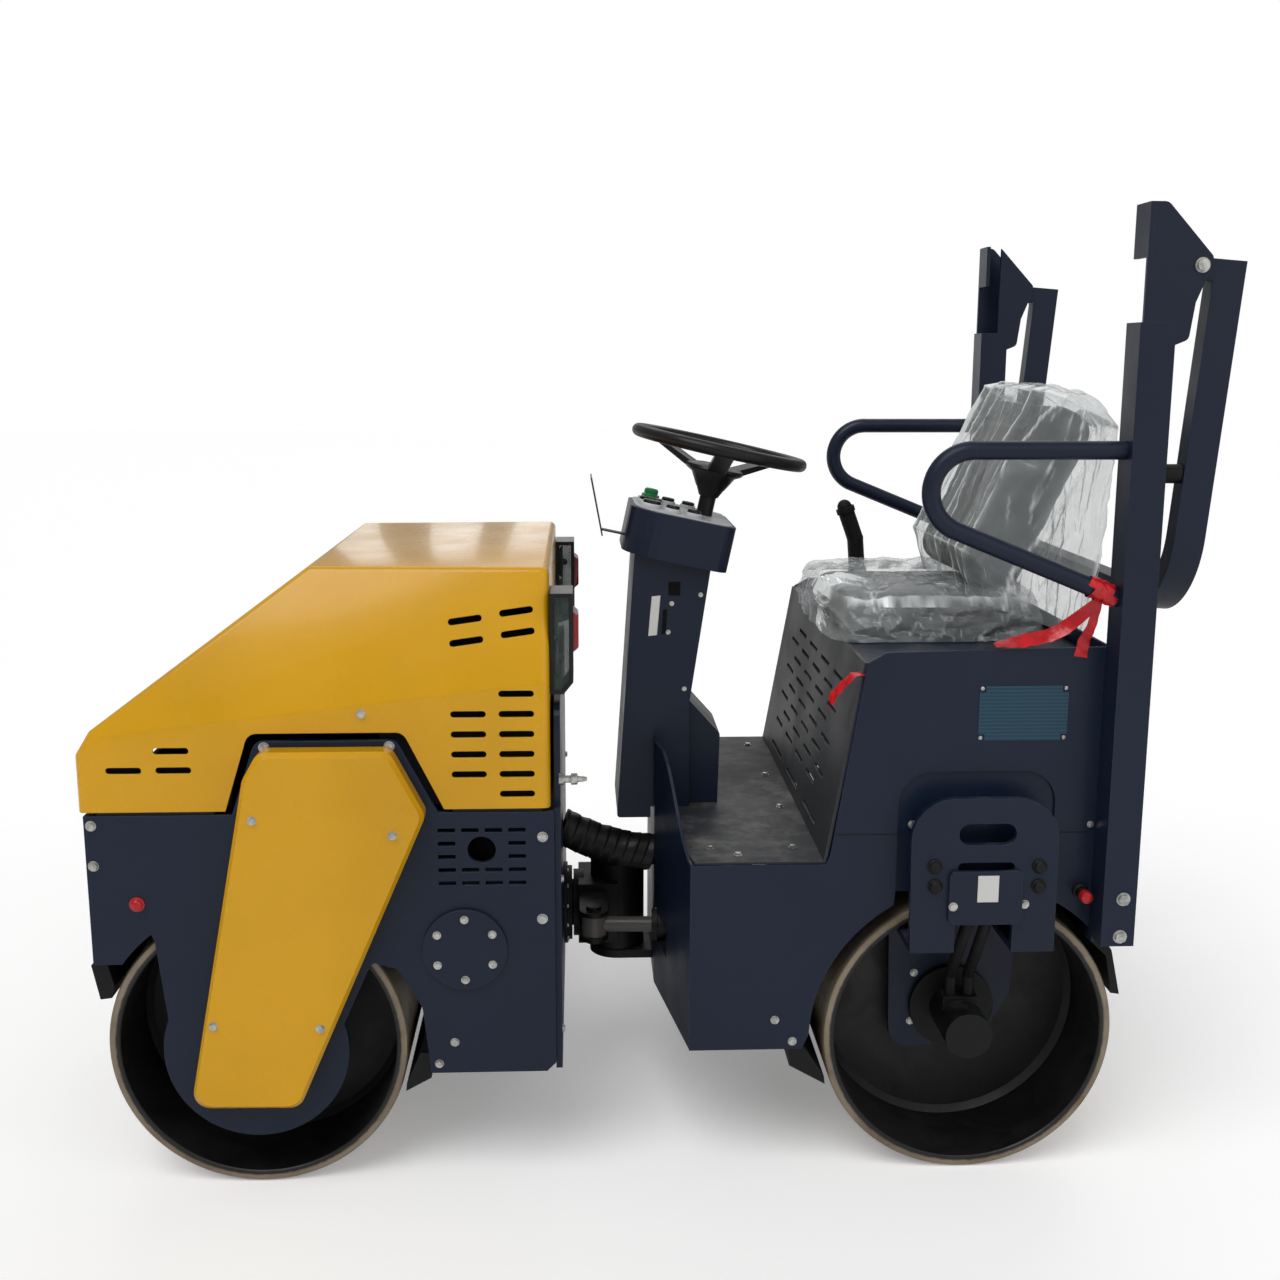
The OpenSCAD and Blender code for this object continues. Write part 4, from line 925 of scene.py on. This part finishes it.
tube_slope = radians(22.2)
tube_start, tube_way = at(-597.4, 499, 1257.4), Vector((-cos(tube_slope), 0, -sin(tube_slope)))
up_face, side_face = Vector((0, 0, 1)), Vector((0, 1, 0))
wound_from, wound_step, wound_r, tape_wide = 0.268, 0.0016, 0.0185, 0.022
turn_steps, wound_points = 8, 25
coil = []
coil_ways = []
for k in range(wound_points):
    a = 2 * pi * k / turn_steps
    side = side_face * cos(a) + side_face.cross(tube_way) * sin(a)
    coil.append(tube_start + tube_way * (wound_from + wound_step * k) + side * (wound_r + 0.0006 * (k % 3)))
    coil_ways.append(side)
ribbon("tape_wrap", coil, [tape_wide] * wound_points, coil_ways)
knot = tube_start + tube_way * 0.288 + Vector((0, -0.004, -0.019))
ribbon("tape_tail_long", [knot, at(-800, 478, 1072), at(-742, 462, 1052), at(-690, 458, 1043)],
       [0.018, 0.028, 0.032, 0.030], [side_face, Vector((0, 0.7, 0.7)), Vector((0, 0.6, 0.8)), up_face])
ribbon("tape_tail_short", [knot, at(-856, 486, 1082), at(-850, 470, 1052), at(-846, 468.5, 1022)],
       [0.014, 0.018, 0.022, 0.024], [side_face, side_face, side_face, side_face])
ribbon("tape_tail_front", [at(-449, 456, 992), at(-430, 460, 988), at(-404, 452, 958), at(-392, 448, 936)],
       [0.026, 0.027, 0.026, 0.022],
       [up_face, Vector((0.4, 0.2, 0.9)), Vector((0.8, 0.3, 0.5)), Vector((0.9, 0.3, 0.2))])

# Console top: round instruments and switch caps with bright bezels and black faces, let into a silver panel,
# a green push button at the far corner, and two black patches on the column's side as painted shade.
console_lean = radians(-12)
console_frame = Matrix.Translation(at(-123, 0, 1152.3)) @ Matrix.Rotation(console_lean, 4, "Y")
panel_top, ring_h, gauge_steps = 101.0, 6, 36
dial = paint("dial_black", rgb(14, 14, 15), rgb(40, 40, 42), 0.18, 0.5, peel=0.02, dirt=0.05)
green = paint("green_button", rgb(10, 120, 62), rgb(60, 170, 110), 0.25, 0.4, peel=0.05, dirt=0.05)
bezels, dials, buttons = bmesh.new(), bmesh.new(), bmesh.new()
for x, y, r in ((62, 0, 27), (62, 62, 22), (20, 84, 17), (20, -84, 17), (-24, 84, 17), (-24, -84, 17)):
    spot = console_frame @ Matrix.Translation((x / 1000, y / 1000, panel_top / 1000))
    ring = [(r - 3, -ring_h), (r, -ring_h), (r, 0), (r - 1.5, 1.4),
            (r - 3, 1.4), (r - 4, 0), (r - 4, -ring_h)]
    turned(bezels, [(a / 1000, h / 1000) for a, h in ring], spot, gauge_steps)
    face = [(0, 0), (r - 3, 0), (r - 3, 6), (r - 5, 8), (0, 8.6)]
    turned(dials, [(a / 1000, h / 1000) for a, h in face], spot, gauge_steps, closed=False)
spot = console_frame @ Matrix.Translation((0.060, -0.066, panel_top / 1000))
cap = [(0, 0), (19, 0), (19, 8), (15, 10), (15, 18), (12, 21), (0, 22)]
turned(buttons, [(a / 1000, h / 1000) for a, h in cap], spot, 32, closed=False)
as_piece("gauge_bezels", bezels, "rear_unit", "chrome_rod", chrome)
as_piece("gauge_dials", dials, "rear_unit", "black_plastic", dial)
as_piece("green_button", buttons, "rear_unit", "black_plastic", green)
# Two black patches on the column's side stand for its cut-outs: painted shade, not holes.
bm = bmesh.new()
for corners in (((-139, 1082), (-115, 1082), (-115, 1110), (-139, 1110)),
                ((-110, 1004), (-101, 1002), (-104, 1052), (-113, 1054))):
    plate(bm, [at(x, stuck_y, z) for x, z in corners], out, 0.6)
as_piece("console_cutout_shade", bm, "rear_unit", "black_plastic", painted_shade)

# Joint: a bundle of hoses in a black spiral wrap that crosses from the front unit to the bulkhead and bends
# with the steering, and a zinc-plated union screwed into the front unit's left rear edge.
wrap = paint("spiral_wrap", rgb(14, 14, 15), rgb(40, 40, 42), 0.38, 0.1, peel=0.25, dirt=0.2)
sleeve_from, sleeve_to = at(103, 100, 590), at(-86, 100, 532)
sleeve_r, sag, lap, unevenness = 0.0375, 0.012, 0.0018, 0.0022
bm = bmesh.new()
steps, round_steps, turns = 132, 30, 9
side = Vector((0, 1, 0))
lift = (sleeve_to - sleeve_from).cross(side).normalized()
rows = []
for k in range(steps + 1):
    t = k / steps
    centre = sleeve_from.lerp(sleeve_to, t) + Vector((0, 0, -sag * sin(pi * t)))
    row = []
    for m in range(round_steps):
        a = 2 * pi * m / round_steps
        wave = (t * turns + m / round_steps) % 1
        r = sleeve_r + lap * wave + unevenness * noise.noise(Vector((9 * t, cos(a), sin(a))))
        row.append(bm.verts.new(centre + (side * cos(a) + lift * sin(a)) * r))
    rows.append(row)
for a, b in zip(rows, rows[1:]):
    for m in range(round_steps):
        after = (m + 1) % round_steps
        bm.faces.new((a[m], a[after], b[after], b[m]))
bm.faces.new(rows[0][::-1])
bm.faces.new(rows[-1])
bmesh.ops.recalc_face_normals(bm, faces=bm.faces)
sleeve = as_piece("hose_wrap", bm, None, "rubber", wrap, smooth=40)
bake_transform(sleeve, "rear_unit", "yoke", at(-70, 100, 545), at(85, 100, 585))
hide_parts("hose_bundle")
union = [(0, 0), (11, 0), (11, 9), (7, 10), (7, 22), (11, 23), (11, 34), (6, 35), (5, 46), (3, 52), (0, 52)]
union_at, hex_sides = at(106, 430, 790), 6
bm = knob(bmesh.new(), union_at, back_way, union, hex_sides)
as_piece("front_unions", bm, "front_unit", "chrome_rod", zinc.material, smooth=20)

# Black plastic, rubber and bare metal: wheel, lever sleeve, lamp boxes, seals and hoses are moulded; the
# cylinder's rod is chromed, coloured dark grey as a painted reflection of dark surroundings; the engine is
# cast iron, floor and seat box front are plain sheet.
rubber = paint("black_rubber", rgb(15, 15, 16), rgb(30, 30, 31), 0.55, 0.0, peel=0.2, dirt=0.4)
dress(rubber, "hood_seals", "rops_bumpers", "motor_hoses", "drive_lever", "seat_base")
plastic = paint("black_plastic", rgb(17, 17, 19), rgb(44, 44, 46), 0.34, 0.1, peel=0.12, dirt=0.2)
dress(plastic, "steering_wheel", "steering_column", "lamp_housings", "console_visor")
dress(paint("engine_iron", rgb(30, 31, 33), rgb(56, 57, 59), 0.6, 0.0, peel=0.4, dirt=0.4), "engine_block")
# The chromed rod's dark grey colour is a painted reflection of dark surroundings.
dress(paint("chrome_painted_dark_reflection", rgb(92, 90, 86), rgb(130, 128, 124), 0.22, 0.0, peel=0.02, dirt=0.2), "steer_rod")
dress(paint("silver_panel", rgb(186, 188, 190), rgb(205, 206, 208), 0.32, 0.1), "console_panel")
floor_sheet = paint("floor_sheet", rgb(52, 54, 58), rgb(90, 92, 96), 0.46, 0.0, peel=0.3, dirt=0.7)
dress(floor_sheet, "floor_plate", "seat_box_front")

# Wheel boss: a moulded black plastic cover, pressed over the spokes' roots on the steering wheel's hub.
# It is round, domed on top and tapers down to the column, and it turns with the wheel.
wheel_lean = radians(-12.4)
wheel_frame = Matrix.Translation(at(-226, 0, 1375)) @ Matrix.Rotation(wheel_lean, 4, "Y")
cover = [(0, -34), (30, -35), (52, -38), (60, -42), (62, -47), (58, -52),
         (46, -58), (38, -72), (30, -86), (0, -88)]
bm = turned(bmesh.new(), [(r / 1000, h / 1000) for r, h in cover], wheel_frame, 48, closed=False)
as_piece("wheel_boss", bm, "steering_wheel", "black_plastic", plastic)
